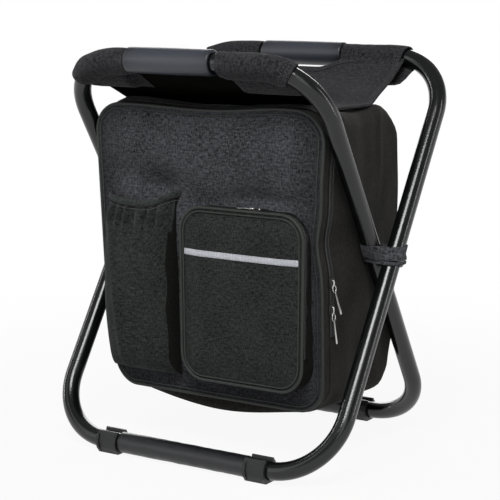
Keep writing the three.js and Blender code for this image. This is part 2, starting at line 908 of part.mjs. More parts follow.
const strapBuckle = (sign) => {
  const x = sign * strapOffset;
  const y = webbingLine()[0].x;
  const low = buckleHeightOnStrap - buckleHeight / 2;
  const high = buckleHeightOnStrap + buckleHeight / 2;
  const halfSlot = webbingThickness / 2 + fitGap;
  const frame = boxBetween(
    x - buckleWidth / 2,
    x + buckleWidth / 2,
    y - buckleThickness / 2,
    y + buckleThickness / 2,
    low,
    high,
  );
  const slot = boxBetween(
    x - webbingWidth / 2 - fitGap,
    x + webbingWidth / 2 + fitGap,
    y - halfSlot,
    y + halfSlot,
    low - buckleHeight,
    high + buckleHeight,
  );
  return cut(frame, slot);
};

const stool = new THREE.Group();

const add = (name, geometry, material) => {
  const mesh = new THREE.Mesh(closed(geometry), material);
  mesh.name = name;
  stool.add(mesh);
};

const sleeveEnd = (shift, sign) => shift + sign * (gripLength / 2 + sleeveGripGap);

const addFrame = (prefix, side, halfWidth, footOffset) => {
  add(`${prefix}_frame_tube`, frameTube(side, halfWidth), materials.tube);
  add(`${prefix}_floor_sleeve`, floorSleeve(-side, footOffset), materials.sleeve);
  add(`${prefix}_foot_left`, foot(-side, -footOffset), materials.plastic);
  add(`${prefix}_foot_right`, foot(-side, footOffset), materials.plastic);
};

const addRailDress = (prefix, side, halfWidth, shift, bends) => {
  const left = seatSleeve(side, halfWidth, false, sleeveEnd(shift, -1), bends.left);
  const right = seatSleeve(side, halfWidth, true, sleeveEnd(shift, 1), bends.right);
  add(`${prefix}_grip`, grip(side, shift), materials.grip);
  add(`${prefix}_seat_sleeve_left`, left, materials.seat);
  add(`${prefix}_seat_sleeve_right`, right, materials.seat);
};

addFrame('outer', 1, outerHalfWidth, outerFootOffset);
addFrame('inner', -1, innerHalfWidth, innerFootOffset);
addRailDress('rear', 1, outerHalfWidth, rearGripShift, rearSleeveBends);
addRailDress('front', -1, innerHalfWidth, frontGripShift, frontSleeveBends);

for (const [sideName, sign] of [['left', -1], ['right', 1]]) {
  add(`pivot_rivet_${sideName}`, pivotRivet(sign), materials.rivet);
  add(`pivot_spacer_${sideName}`, pivotSpacer(sign), materials.plastic);
  add(`leg_band_${sideName}`, legBand(sign), materials.gusset);
  add(`shoulder_pad_${sideName}`, shoulderPad(sign), materials.heather);
  add(`strap_webbing_${sideName}`, strapWebbing(sign), materials.strap);
  add(`strap_buckle_${sideName}`, strapBuckle(sign), materials.plastic);
}

add('seat_sling', seatSling(), materials.seat);
add('bag_shell', bagShell(), materials.gusset);
add('bag_lining', bagLining(), materials.lining);
add(
  'main_zip_tape',
  zipBand(bagPlace, zipTapeFootHeight, shellFront + fitGap, zipTapeWidth),
  materials.zip,
);
add('door_panel', doorPanel(), materials.heather);
add('door_lining', doorLining(), materials.lining);
add('door_piping', pipingLoop(bagPlace, bagFront, pipingSeat, pipingDiameter), materials.piping);
add('pocket_gusset', pocketGusset(), materials.heather);
add('pocket_zip', pocketZip(), materials.zip);
add('pocket_panel', pocketPanel(), materials.heather);
add(
  'pocket_piping',
  pipingLoop(pocketPlace, flapFront, pocketPipingSeat / 2, pocketPipingDiameter),
  materials.piping,
);
add('bright_strip', brightStrip(), materials.strip);
add('bottle_pocket', bottlePocket(), materials.heather);
add('bottle_pocket_hem', bottleHem(), materials.piping);
add('main_slider_upper', onMainZip(sliderBody(), upperSliderHeight), materials.slider);
add('main_pull_upper', onMainZip(sliderPull(), upperSliderHeight), materials.slider);
add('main_slider_lower', onMainZip(sliderBody(), lowerSliderHeight), materials.slider);
add('main_pull_lower', onMainZip(sliderPull(), lowerSliderHeight), materials.slider);
add('pocket_slider', onPocketZip(sliderBody()), materials.slider);
add('pocket_pull', onPocketZip(sliderPull()), materials.slider);

export default stool;
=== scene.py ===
from functools import cache
from math import atan2, cos, exp, hypot, pi, radians, sin, sqrt, tau

import bmesh
import bpy
from mathutils import Matrix, Vector, noise


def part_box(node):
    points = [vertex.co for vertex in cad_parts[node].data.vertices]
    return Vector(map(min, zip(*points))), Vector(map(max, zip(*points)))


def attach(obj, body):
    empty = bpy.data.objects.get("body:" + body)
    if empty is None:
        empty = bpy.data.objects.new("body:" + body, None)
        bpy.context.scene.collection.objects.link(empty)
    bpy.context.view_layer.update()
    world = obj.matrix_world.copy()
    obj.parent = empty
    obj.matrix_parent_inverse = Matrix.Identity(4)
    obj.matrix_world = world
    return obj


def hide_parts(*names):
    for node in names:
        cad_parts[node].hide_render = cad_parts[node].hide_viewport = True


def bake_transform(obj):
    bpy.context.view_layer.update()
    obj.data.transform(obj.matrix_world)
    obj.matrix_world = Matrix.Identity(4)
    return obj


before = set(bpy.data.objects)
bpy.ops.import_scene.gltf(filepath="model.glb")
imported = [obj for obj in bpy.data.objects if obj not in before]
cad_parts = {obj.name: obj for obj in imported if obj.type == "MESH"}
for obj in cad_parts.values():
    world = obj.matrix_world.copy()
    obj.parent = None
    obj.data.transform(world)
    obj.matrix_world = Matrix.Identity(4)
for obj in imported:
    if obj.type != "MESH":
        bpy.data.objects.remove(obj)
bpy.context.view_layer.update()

bpy.ops.object.select_all(action="DESELECT")  # the frame's nodes come in selected
print("frame loaded")


# Camera, light and floor

cameraView = {
    "place": (0.84873, -1.37802, 0.47519),
    "lens": 113.44,
    "yaw": 31.69,
    "pitch": 9.64,
    "roll": 0.45,
}


def addCamera(view):
    yaw, pitch, roll = radians(view["yaw"]), radians(view["pitch"]), radians(view["roll"])
    back = Vector((sin(yaw) * cos(pitch), -cos(yaw) * cos(pitch), sin(pitch)))
    level = (-back).cross(Vector((0, 0, 1))).normalized()
    upright = level.cross(-back)
    right = level * cos(roll) + upright * sin(roll)
    up = upright * cos(roll) - level * sin(roll)
    bpy.ops.object.camera_add()
    camera = bpy.context.object
    turned = Matrix((right, up, back)).transposed().to_4x4()
    camera.matrix_world = Matrix.Translation(view["place"]) @ turned
    camera.data.lens = view["lens"]
    camera.data.sensor_width = 36
    bpy.context.scene.camera = camera


addCamera(cameraView)

softboxes = {
    "rear": ((-1.1, 1.9, 0.95), (0, 0, 0.2), 1.5, 1.2, 24),  # place, aim, width, height, watts
    "key": ((0.50, -1.30, 1.75), (0, 0, 0.2), 0.9, 0.7, 32),
    "fill": ((-1.05, -1.75, 0.95), (0, 0, 0.2), 1.3, 1.3, 6),
    "front": ((1.15, -1.3, 1.1), (0, 0, 0.2), 0.7, 0.9, 3),
    "left": ((-1.9, -0.4, 0.95), (0, 0, 0.2), 0.12, 1.5, 6),
    "right": ((1.9, 0.5, 0.85), (0, 0, 0.2), 0.12, 1.5, 6),
}


def addSoftbox(name, place, aim, width, height, watts):
    bpy.ops.object.light_add(type="AREA", location=place)
    lamp = bpy.context.object
    lamp.name = name + "Softbox"
    lamp.rotation_euler = (Vector(aim) - Vector(place)).to_track_quat("-Z", "Y").to_euler()
    lamp.data.shape = "RECTANGLE"
    lamp.data.size, lamp.data.size_y = width, height
    lamp.data.energy = watts


for name, box in softboxes.items():
    addSoftbox(name, *box)


# Materials

class Wire:  # an output socket: sums written with it add their Math nodes
    def __init__(self, board, socket):
        self.board, self.socket = board, socket

    def maths(self, kind, first, second=0.0):
        return self.board.node("ShaderNodeMath", {"operation": kind}, {0: first, 1: second})

    def __add__(self, other):
        return self.maths("ADD", self, other)

    def __sub__(self, other):
        return self.maths("SUBTRACT", self, other)

    def __rsub__(self, other):
        return self.maths("SUBTRACT", other, self)

    def __mul__(self, other):
        return self.maths("MULTIPLY", self, other)

    def __truediv__(self, other):
        return self.maths("DIVIDE", self, other)

    def __pow__(self, other):
        return self.maths("POWER", self, other)

    __radd__ = __add__
    __rmul__ = __mul__

    def sine(self):
        return self.maths("SINE", self)

    def size(self):
        return self.maths("ABSOLUTE", self)

    def most(self, other):
        return self.maths("MAXIMUM", self, other)

    def above(self, level):
        return self.maths("GREATER_THAN", self, level)


class Board:  # the node tree of a material or of the world
    def __init__(self, tree):
        self.tree = tree

    def node(self, kind, settings=None, inputs=None, output=0):
        made = self.tree.nodes.new(kind)
        for key, value in (settings or {}).items():
            setattr(made, key, value)
        for key, value in (inputs or {}).items():
            if isinstance(value, Wire):
                self.tree.links.new(value.socket, made.inputs[key])
            else:
                made.inputs[key].default_value = value
        return Wire(self, made.outputs[output])

    def coords(self, kind):
        return self.node("ShaderNodeTexCoord", output=kind)

    def axis(self, where, letter):
        return self.node("ShaderNodeSeparateXYZ", {}, {0: where}, letter)

    def clamped(self, value):
        return self.node("ShaderNodeClamp", {}, {"Value": value})

    def smoothRange(self, value, start, end, low, high=1.0):  # low at start, high at end
        return self.node("ShaderNodeMapRange", {"interpolation_type": "SMOOTHSTEP"}, {
            "Value": value, "From Min": start, "From Max": end, "To Min": low, "To Max": high,
        })


class Finish(Board):  # a material with a Principled shader
    def __init__(self, name, **uniform):
        self.material = bpy.data.materials.new(name)
        self.material.use_nodes = True
        super().__init__(self.material.node_tree)
        self.shader = self.tree.nodes["Principled BSDF"]
        for key, value in uniform.items():
            self.shader.inputs[key.replace("_", " ")].default_value = value

    def feed(self, **links):
        for key, wire in links.items():
            self.tree.links.new(wire.socket, self.shader.inputs[key.replace("_", " ")])

    def tinted(self, factor, low, high):  # Base Color goes from one picture colour to another
        ends = {0: factor, 6: colour(*low), 7: colour(*high)}
        self.feed(Base_Color=self.node("ShaderNodeMix", {"data_type": "RGBA"}, ends, 2))

    def grain(self, where, scale, detail=2.0, rough=0.5):
        return self.node(
            "ShaderNodeTexNoise", {}, {"Vector": where, "Scale": scale, "Detail": detail, "Roughness": rough}
        )

    def stretched(self, where, scale):
        return self.node("ShaderNodeMapping", {}, {"Vector": where, "Scale": scale})

    def relief(self, height, distance):
        self.feed(Normal=self.node("ShaderNodeBump", {}, {"Height": height, "Distance": distance}))


def colour(red, green, blue):  # from the 0 to 255 of a picture
    channel = [c / 255 for c in (red, green, blue)]
    linear = [c / 12.92 if c < 0.04045 else ((c + 0.055) / 1.055) ** 2.4 for c in channel]
    return (*linear, 1)


def wovenCloth(name, look):  # yarns cross at the pitch, on the piece's own UV map in metres
    cloth = Finish(
        name, Roughness=look["rough"], Sheen_Weight=look["sheen"], Sheen_Roughness=0.5,
        Specular_IOR_Level=look.get("gloss", 0.08),
    )
    where = cloth.coords(look.get("coords", "UV"))
    along = cloth.axis(where, "X")
    across = cloth.axis(where, "Y")
    turns = pi / look["pitch"]
    crown = (along * turns).sine() * (across * turns).sine() * 0.5 + 0.5
    yarn = cloth.grain(cloth.stretched(where, (1, 0.35, 1)), 0.75 / look["pitch"], 3)
    thread = cloth.grain(cloth.stretched(where, (0.3, 1, 1)), 0.6 / look["pitch"], 3)
    fleck = cloth.grain(where, 0.5 / look["pitch"], 3, 0.7)
    patch = cloth.grain(where, 26, 3)
    speck = (yarn * 0.38 + thread * 0.36 + fleck * 0.26 - 0.40) * 4.2
    lift = speck * look["heather"] + (patch - 0.5) * look["patches"] + crown * 0.12
    if "seams" in look:  # painted shade: darker towards the side and bottom seams, where the padded front turns away from the light
        half, width = look["seams"]
        seamShade = (((along - half).size() - half + width) / width).most((width - across) / width)
        lift = lift * (1 - cloth.clamped(seamShade) * 0.5)
    tone = cloth.clamped(lift)
    cloth.tinted(tone, look["dark"], look["light"])
    cloth.relief(crown * 0.6 + yarn * 0.4 + thread * 0.4, look["depth"])
    return cloth.material


clothLooks = {
    # frontCloth's seams entry (half width, reach) sets where its painted shade darkens it towards the sides
    # and bottom
    "frontCloth": {"dark": (16, 16, 18), "light": (92, 93, 98), "pitch": 0.0011, "heather": 0.75,
                   "patches": 0.45, "rough": 0.92, "sheen": 0.08, "depth": 0.00035, "seams": (0.129, 0.036)},
    "pocketCloth": {"dark": (12, 13, 13), "light": (65, 68, 66), "pitch": 0.0010, "heather": 0.7,
                    "patches": 0.4, "rough": 0.9, "sheen": 0.06, "depth": 0.0003},
    "seatCloth": {"dark": (15, 14, 16), "light": (70, 70, 73), "pitch": 0.0011, "heather": 0.7,
                  "patches": 0.35, "rough": 0.92, "sheen": 0.08, "depth": 0.0004},
    "sideCloth": {"dark": (11, 10, 9), "light": (58, 56, 53), "pitch": 0.0009, "heather": 0.6,
                  "patches": 0.5, "rough": 0.88, "sheen": 0.06, "depth": 0.0003},
    # painted shade: a near-black cloth for the pockets' walls and insides, where shade falls
    "shadeCloth": {"dark": (7, 7, 6), "light": (31, 32, 29), "pitch": 0.0009, "heather": 0.6,
                  "patches": 0.4, "rough": 0.9, "sheen": 0.03, "depth": 0.0003},
    "bandCloth": {"dark": (22, 22, 24), "light": (102, 103, 108), "pitch": 0.0012, "heather": 0.75,
                  "patches": 0.3, "rough": 0.92, "sheen": 0.1, "depth": 0.0004},
    "hemCloth": {"dark": (18, 21, 20), "light": (78, 84, 80), "pitch": 0.0009, "heather": 0.6,
                 "patches": 0.3, "rough": 0.88, "sheen": 0.08, "depth": 0.0003},
    "webbing": {"dark": (12, 12, 13), "light": (50, 50, 53), "pitch": 0.0018, "heather": 0.45,
                "patches": 0.2, "rough": 0.7, "sheen": 0.05, "depth": 0.0007},
    "padCloth": {"dark": (13, 13, 14), "light": (58, 58, 62), "pitch": 0.0012, "heather": 0.7,
                 "patches": 0.4, "rough": 0.92, "sheen": 0.06, "depth": 0.0004, "coords": "Object"},
}
cloths = {name: wovenCloth(name, look) for name, look in clothLooks.items()}


def glossPaint():  # black powder coat: a faint orange peel and dull rubbed streaks
    paint = Finish("glossBlack", Specular_IOR_Level=0.5)
    where = paint.coords("Object")
    peel = paint.grain(where, 750, 2)
    rubbed = paint.grain(paint.stretched(where, (9, 9, 30)), 2.0, 4)
    paint.feed(Roughness=rubbed * 0.12 + 0.12)
    paint.tinted(rubbed, (5, 6, 6), (18, 20, 20))
    paint.relief(peel, 0.00006)
    return paint.material


def gripFoam():  # smooth skinned foam with random streaks, and painted shade darkening both ends
    foam = Finish("gripFoam", Specular_IOR_Level=0.5)
    where = foam.coords("Object")
    along = foam.axis(where, "X")
    streak = foam.grain(foam.stretched(where, (2, 40, 40)), 6, 3)
    pores = foam.grain(where, 1600, 2)
    # painted shade: the foam is darker towards both ends
    ends = ((along + 0.0135).size() * 20.5) ** 5
    endShadeAndStreaks = foam.clamped(ends * 0.75 + (streak - 0.5) * 0.7)
    foam.tinted(endShadeAndStreaks, (51, 54, 62), (23, 25, 30))
    foam.feed(Roughness=streak * 0.2 + 0.3)
    foam.relief(pores, 0.0001)
    return foam.material


def softSleeve():  # smooth foam hose round the bottom rails
    foam = Finish("railFoam", Specular_IOR_Level=0.5)
    where = foam.coords("Object")
    pores = foam.grain(where, 900, 3)
    dents = foam.grain(foam.stretched(where, (1, 2, 2)), 30, 3)
    foam.tinted(dents, (13, 14, 17), (33, 34, 37))
    foam.feed(Roughness=pores * 0.2 + 0.26)
    foam.relief(pores * 0.1 + dents, 0.0002)
    return foam.material


def mouldedPlastic(name, low, high, rough, gloss=0.4):  # fine spark-eroded texture, scuffed a little
    plastic = Finish(name, Specular_IOR_Level=gloss)
    where = plastic.coords("Object")
    spark = plastic.grain(where, 1800, 2)
    scuff = plastic.grain(where, 60, 5, 0.65)
    plastic.tinted(scuff, low, high)
    plastic.feed(Roughness=scuff * 0.25 + rough)
    plastic.relief(spark, 0.00012)
    return plastic.material


def brightMetal(name, low, high, rough):  # nickel, tarnished in the hollows
    metal = Finish(name, Metallic=1.0)
    where = metal.coords("Object")
    tarnish = metal.grain(where, 260, 4)
    scratch = metal.grain(metal.stretched(where, (1, 1, 0.1)), 2400, 2)
    metal.tinted(tarnish, low, high)
    metal.feed(Roughness=tarnish * 0.2 + scratch * 0.1 + rough)
    metal.relief(scratch, 0.00004)
    return metal.material


def foilLining():  # silver foil laminated on foam, with its pressed diamonds
    foil = Finish("foil", Metallic=0.85)
    where = foil.coords("UV")
    along = foil.axis(where, "X")
    across = foil.axis(where, "Y")
    quilt = ((along + across) * 220).sine().size() * ((along - across) * 220).sine().size()
    crush = foil.grain(where, 90, 4)
    foil.tinted(crush, (150, 152, 156), (214, 216, 220))
    foil.feed(Roughness=crush * 0.3 + 0.22)
    foil.relief(quilt + crush * 1.2, 0.0012)
    return foil.material


def beadedStrip():  # light-returning strip of fine glass beads in a net
    strip = Finish("beadedStrip", Specular_IOR_Level=0.6, Sheen_Weight=0.2)
    where = strip.coords("UV")
    cells = strip.node(
        "ShaderNodeTexVoronoi", {"feature": "DISTANCE_TO_EDGE"}, {"Vector": where, "Scale": 700}
    )
    wear = strip.grain(where, 120, 4)
    net = cells.above(0.08)
    strip.tinted(net * 0.35 + wear * 0.7, (150, 152, 158), (212, 214, 222))
    strip.feed(Roughness=wear * 0.2 + 0.3)
    strip.relief(net, 0.0002)
    return strip.material


def zipTape():  # twill tape with the ribs beside the teeth
    tape = Finish("zipTape", Roughness=0.8, Sheen_Weight=0.1)
    where = tape.coords("UV")
    along = tape.axis(where, "X")
    across = tape.axis(where, "Y")
    twill = ((along + across) * 4200).sine() * 0.5 + 0.5
    fleck = tape.grain(where, 1400, 2)
    tape.tinted(twill * 0.5 + fleck * 0.3, (7, 7, 8), (23, 23, 24))
    tape.relief(twill, 0.0003)
    return tape.material


paint = glossPaint()
foam = gripFoam()
hose = softSleeve()
footPlastic = mouldedPlastic("footPlastic", (13, 14, 14), (34, 35, 36), 0.35)
bucklePlastic = mouldedPlastic("bucklePlastic", (16, 16, 17), (38, 38, 40), 0.3)
washerPlastic = mouldedPlastic("washerPlastic", (22, 22, 22), (50, 50, 50), 0.4)
nickel = brightMetal("nickel", (150, 149, 146), (236, 235, 232), 0.14)
rivetSteel = brightMetal("rivetSteel", (52, 52, 54), (120, 120, 124), 0.22)
sliderPaint = mouldedPlastic("sliderPaint", (20, 20, 20), (46, 46, 45), 0.25, 0.5)
foil = foilLining()
strip = beadedStrip()
tape = zipTape()
# painted shade for the seat's underside: a near-black coated finish
undersideShade = mouldedPlastic("seatUndersideShade", (12, 12, 11), (24, 24, 22), 0.75, 0.0)
teethPlastic = mouldedPlastic("teethPlastic", (10, 10, 10), (28, 28, 29), 0.3)
stitchThread = mouldedPlastic("stitchThread", (40, 41, 42), (96, 97, 98), 0.55)
print("materials made")

floorLook = {
    "size": 14, "grey": (192, 192, 192), "cloud": (184, 184, 184), "white": 0.92, "near": 0.25, "far": 0.95,
}


def seenRays(board):  # what the camera, gloss and glass look at
    kinds = ("Is Camera Ray", "Is Glossy Ray", "Is Transmission Ray")
    camera, gloss, glass = (board.node("ShaderNodeLightPath", output=kind) for kind in kinds)
    return camera.most(gloss).most(glass)


def addFloor(look):
    bpy.ops.mesh.primitive_plane_add(size=look["size"])
    floor = bpy.context.object
    floor.name = "floor"
    ground = Finish("paleFloor", Roughness=0.9, Specular_IOR_Level=0.1)
    where = ground.coords("Object")
    ground.tinted(ground.grain(where, 3, 2) * 0.1, look["grey"], look["cloud"])
    away = ground.node("ShaderNodeVectorMath", {"operation": "LENGTH"}, {0: where}, "Value")
    spread = ground.smoothRange(away, look["near"], look["far"], look["white"])
    white = ground.node("ShaderNodeEmission", {}, {"Color": (1, 1, 1, 1), "Strength": 1.0})
    lit = Wire(ground, ground.shader.outputs[0])
    mixed = ground.node("ShaderNodeMixShader", {}, {0: seenRays(ground) * spread, 1: lit, 2: white})
    ground.tree.links.new(mixed.socket, ground.tree.nodes["Material Output"].inputs["Surface"])
    floor.data.materials.append(ground.material)


skyLook = {"level": 0.16, "horizon": 0.08, "ceiling": 0.4, "overhead": 0.1}


def lightWorld(look):  # white all round the horizon, dim overhead as a studio's ceiling is
    world = bpy.data.worlds.new("studio")
    bpy.context.scene.world = world
    world.use_nodes = True
    sky = Board(world.node_tree)
    height = sky.axis(sky.coords("Generated"), "Z")
    fade = sky.smoothRange(height, look["horizon"], look["ceiling"], 1.0, look["overhead"])
    seen = sky.node("ShaderNodeLightPath", output="Is Camera Ray").most(seenRays(sky) * fade)
    backdrop = world.node_tree.nodes["Background"]
    backdrop.inputs["Color"].default_value = (1, 1, 1, 1)
    strength = seen * (1 - look["level"]) + look["level"]
    sky.tree.links.new(strength.socket, backdrop.inputs["Strength"])


addFloor(floorLook)
lightWorld(skyLook)
bpy.context.scene.view_settings.view_transform = "Standard"
print("studio lit")


# Ways of working

def alone(obj):
    bpy.ops.object.select_all(action="DESELECT")
    obj.select_set(True)
    bpy.context.view_layer.objects.active = obj
    return obj


def named(name):  # the primitive that was just added
    obj = bpy.context.object
    obj.name = obj.data.name = name
    return alone(obj)


def applied(obj):  # modifiers and place go into the mesh
    alone(obj)
    for modifier in list(obj.modifiers):
        bpy.ops.object.modifier_apply(modifier=modifier.name)
    bpy.ops.object.transform_apply(location=True, rotation=True, scale=True)
    return obj


def editAll(obj, *steps):  # runs edit-mode steps on the whole mesh
    alone(obj)
    bpy.ops.object.mode_set(mode="EDIT")
    bpy.ops.mesh.select_all(action="SELECT")
    for step in steps:
        step()
    bpy.ops.object.mode_set(mode="OBJECT")
    return obj


def welded():
    bpy.ops.mesh.remove_doubles(threshold=0.00001)


def facedOut():
    bpy.ops.mesh.normals_make_consistent(inside=False)


def thickened(obj, thickness, offset):  # offset -1 grows to its inner side, 0 to both sides
    layer = obj.modifiers.new("thickness", "SOLIDIFY")
    layer.thickness, layer.offset = thickness, offset
    return applied(obj)


def softened(obj):
    layer = obj.modifiers.new("soft", "SUBSURF")
    layer.levels = layer.render_levels = 1
    return applied(obj)


def smooth(obj, angle=None):
    alone(obj)
    if angle is None:
        bpy.ops.object.shade_smooth()
    else:
        bpy.ops.object.shade_smooth_by_angle(angle=radians(angle))
    return obj


def dressed(obj, material, slot, body, *nodes):
    obj.data.materials.clear()
    obj.data.materials.append(material)
    if body == "sling":  # what is sewn to the seat keeps its place and rides on no body
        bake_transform(obj)
    else:
        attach(obj, body)
    if nodes:
        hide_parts(*nodes)
    return obj


def clothGrid(name, look, place):
    # a grid whose points go where place(across, along) says, its UV map in metres of flat cloth
    columns, rows = look["grid"]
    bpy.ops.mesh.primitive_grid_add(x_subdivisions=columns, y_subdivisions=rows, size=2)
    obj = named(name)
    for vertex in obj.data.vertices:
        vertex.co = Vector(place((vertex.co.x + 1) / 2, (vertex.co.y + 1) / 2))
    for loop in obj.data.uv_layers.active.data:
        loop.uv = (loop.uv[0] * look["flat"][0], loop.uv[1] * look["flat"][1])
    obj.data.update()
    return obj


def clothPiece(name, look, place):
    # a grid that gets its thickness; a ring's edges are first welded where they meet
    grid = clothGrid(name, look, place)
    editAll(grid, *([welded] if look.get("ring") else []), facedOut)
    return smooth(thickened(grid, look["thick"], look.get("grows", -1)), look.get("angle", 60))


def paddedFront(name, look, place, rear):
    # a grid closed to a solid: its rear face is a copy of it at the depth rear(x, y, z)
    obj, reach = clothGrid(name, look, place), 0.05
    editAll(obj, lambda: bpy.ops.mesh.extrude_region_move(TRANSFORM_OT_translate={"value": (0, reach, 0)}))
    for vertex in obj.data.vertices:
        if vertex.select:
            vertex.co.y = rear(vertex.co.x, vertex.co.y - reach, vertex.co.z)
    return smooth(editAll(obj, facedOut), 55)


def mapped(obj, polygon, place):  # one face's part of the UV map goes where place(its corner) says
    for corner in polygon.loop_indices:
        spot = obj.data.vertices[obj.data.loops[corner].vertex_index].co
        obj.data.uv_layers.active.data[corner].uv = place(spot)


def ease(value, start, end):  # 0 before start, 1 after end, smooth between
    share = min(max((value - start) / (end - start), 0), 1)
    return share * share * (3 - 2 * share)


def hump(value, middle, width):
    return exp(-(((value - middle) / width) ** 2))


def rumple(x, y, z, size, seed=0.0):  # smooth creases, the same each run
    return noise.noise(Vector((x / size + seed, y / size - seed, z / size + 2 * seed)))


def narrowed(look, inset):  # a piece's rounded rectangle, made smaller all round
    return {
        "halfWidth": look["halfWidth"] - inset, "low": look["low"] + inset,
        "high": look["high"] - inset, "corner": look["corner"] - inset,
    }


def ringLength(halfWidth, low, high, corner):
    return 4 * (halfWidth - corner) + 2 * (high - low - 2 * corner) + tau * corner


def ringPoint(share, halfWidth, low, high, corner):
    # walks round an upright rounded rectangle from the middle of its base, and gives x, z and the way out
    across, up, arc = halfWidth - corner, high - low - 2 * corner, corner * pi / 2
    runs = [across, arc, up, arc, 2 * across, arc, up, arc, across]
    left = min(max(share, 0), 1) * sum(runs)
    x, z, heading = 0.0, low, 0.0
    for count, run in enumerate(runs):
        step = min(left, run)
        if count % 2:
            turned = heading + step / corner
            x += corner * (sin(turned) - sin(heading))
            z += corner * (cos(heading) - cos(turned))
            heading = turned
        else:
            x += step * cos(heading)
            z += step * sin(heading)
        left -= step
        if left <= 0:
            break
    return x, z, sin(heading), -cos(heading)


def roundedSpot(across, along, halfWidth, low, high, corner):
    # a square grid's spot in a rounded rectangle: only the corner squares are pulled round
    x, z = (across * 2 - 1) * halfWidth, low + along * (high - low)
    middle, halfHeight = (low + high) / 2, (high - low) / 2
    overX, overZ = abs(x) - (halfWidth - corner), abs(z - middle) - (halfHeight - corner)
    if overX > 0 and overZ > 0:
        a, b = overX / corner, overZ / corner
        pulledX, pulledZ = a * sqrt(1 - b * b / 2), b * sqrt(1 - a * a / 2)
        x = (halfWidth - corner + pulledX * corner) * (1 if x > 0 else -1)
        z = middle + (halfHeight - corner + pulledZ * corner) * (1 if z > middle else -1)
    return x, z


def cordAlong(name, points, radius, closed=False, sides=10):
    # a round cord through points, with its ends filled
    bpy.ops.curve.primitive_bezier_curve_add()
    obj = named(name)
    curve = obj.data
    curve.splines.clear()
    spline = curve.splines.new("POLY")
    spline.points.add(len(points) - 1)
    for spot, point in zip(spline.points, points):
        spot.co = (*point, 1)
    spline.use_cyclic_u = closed
    curve.dimensions = "3D"
    curve.bevel_depth = radius
    curve.bevel_resolution = max((sides - 4) // 2, 0)
    curve.use_fill_caps = not closed
    bpy.ops.object.convert(target="MESH")
    return smooth(applied(bpy.context.object))


def evenly(points, spacing, closed=False):  # spots and headings at even steps along points
    path = [Vector(p) for p in points] + ([Vector(points[0])] if closed else [])
    spots, carried = [], spacing / 2
    for start, end in zip(path, path[1:]):
        run = (end - start).length
        while carried <= run and run > 0:
            spots.append((start.lerp(end, carried / run), (end - start).normalized()))
            carried += spacing
        carried -= run
    return spots


def repeated(name, unit, spots, outward):
    # one mesh of copies of a unit: its X goes along the heading and its Z along outward(spot)
    mesh = bmesh.new()
    for spot, heading in spots:
        normal = Vector(outward(spot))
        normal = (normal - heading * normal.dot(heading)).normalized()
        turned = Matrix((heading, normal.cross(heading), normal)).transposed().to_4x4()
        before = len(mesh.verts)
        mesh.from_mesh(unit.data)
        mesh.verts.ensure_lookup_table()
        bmesh.ops.transform(mesh, matrix=Matrix.Translation(spot) @ turned, verts=mesh.verts[before:])
    bpy.ops.mesh.primitive_cube_add(size=0.01)
    obj = named(name)
    mesh.to_mesh(obj.data)
    mesh.free()
    return smooth(obj, 50)


def stitchUnit(length=0.0026, radius=0.00028):  # one stitch: a short thread with sunk ends
    bpy.ops.mesh.primitive_cylinder_add(vertices=6, radius=radius, depth=length, rotation=(0, pi / 2, 0))
    obj = named("stitch")
    applied(obj)
    editAll(obj, lambda: bpy.ops.mesh.subdivide(number_cuts=1))
    for vertex in obj.data.vertices:
        vertex.co.z -= 2.2 * radius * (vertex.co.x / (length / 2)) ** 2
    return obj


stitch = stitchUnit()


def sewn(name, points, body, outward, lift=0.0, spacing=0.0036):  # a seam's row of stitches
    path = evenly(points, spacing)
    spots = [(spot + Vector(outward(spot)).normalized() * lift, heading) for spot, heading in path]
    return dressed(repeated(name, stitch, spots, outward), stitchThread, "strap", body)


# The two tube loops

loops = {
    "outerLoop": {"halfWidth": 0.1635, "topSide": 1, "body": "outer_frame", "node": "outer_frame_tube"},
    "innerLoop": {"halfWidth": 0.144, "topSide": -1, "body": "inner_frame", "node": "inner_frame_tube"},
}
tube = {"radius": 0.009, "bend": 0.065, "railY": 0.1255, "low": 0.012, "high": 0.400}
loopLength = hypot(2 * tube["railY"], tube["high"] - tube["low"])
pivot = Vector((0, 0, (tube["low"] + tube["high"]) / 2))


def bendTube(name, look):  # a flat rectangle with rounded corners, tipped to the legs' slope
    slope = atan2(tube["high"] - tube["low"], 2 * tube["railY"] * look["topSide"])
    bpy.ops.mesh.primitive_plane_add(size=1, location=pivot, rotation=(slope, 0, 0))
    obj = named(name)
    obj.scale = (2 * look["halfWidth"], loopLength, 1)
    bpy.ops.object.transform_apply(location=False, rotation=False, scale=True)
    editAll(
        obj,
        lambda: bpy.ops.mesh.bevel(offset=tube["bend"], segments=24, affect="VERTICES"),
        lambda: bpy.ops.mesh.delete(type="ONLY_FACE"),
    )
    bpy.ops.object.convert(target="CURVE")
    curve = bpy.context.object.data
    curve.bevel_depth = tube["radius"]
    curve.bevel_resolution = 14
    bpy.ops.object.convert(target="MESH")
    obj = smooth(applied(bpy.context.object))
    editAll(obj, welded, facedOut)
    return dressed(obj, paint, "tube", look["body"], look["node"])


for name, look in loops.items():
    bendTube(name, look)
print("tubes bent")


# Turned pieces on the rails: grips and floor sleeves

def turned(name, profile, middle, sides=48):
    # profile is (along x, radius) pairs, spun round the rail at middle (y, z)
    bpy.ops.mesh.primitive_plane_add(size=0.01)
    obj = named(name)
    editAll(obj, lambda: bpy.ops.mesh.delete(type="VERT"))
    y, z = middle
    obj.data.from_pydata(
        [(along, y, z + radius) for along, radius in profile],
        [(n, n + 1) for n in range(len(profile) - 1)], [],
    )
    editAll(
        obj,
        lambda: bpy.ops.mesh.spin(steps=sides, angle=tau, center=(0, y, z), axis=(1, 0, 0)),
        welded,
        facedOut,
    )
    return obj


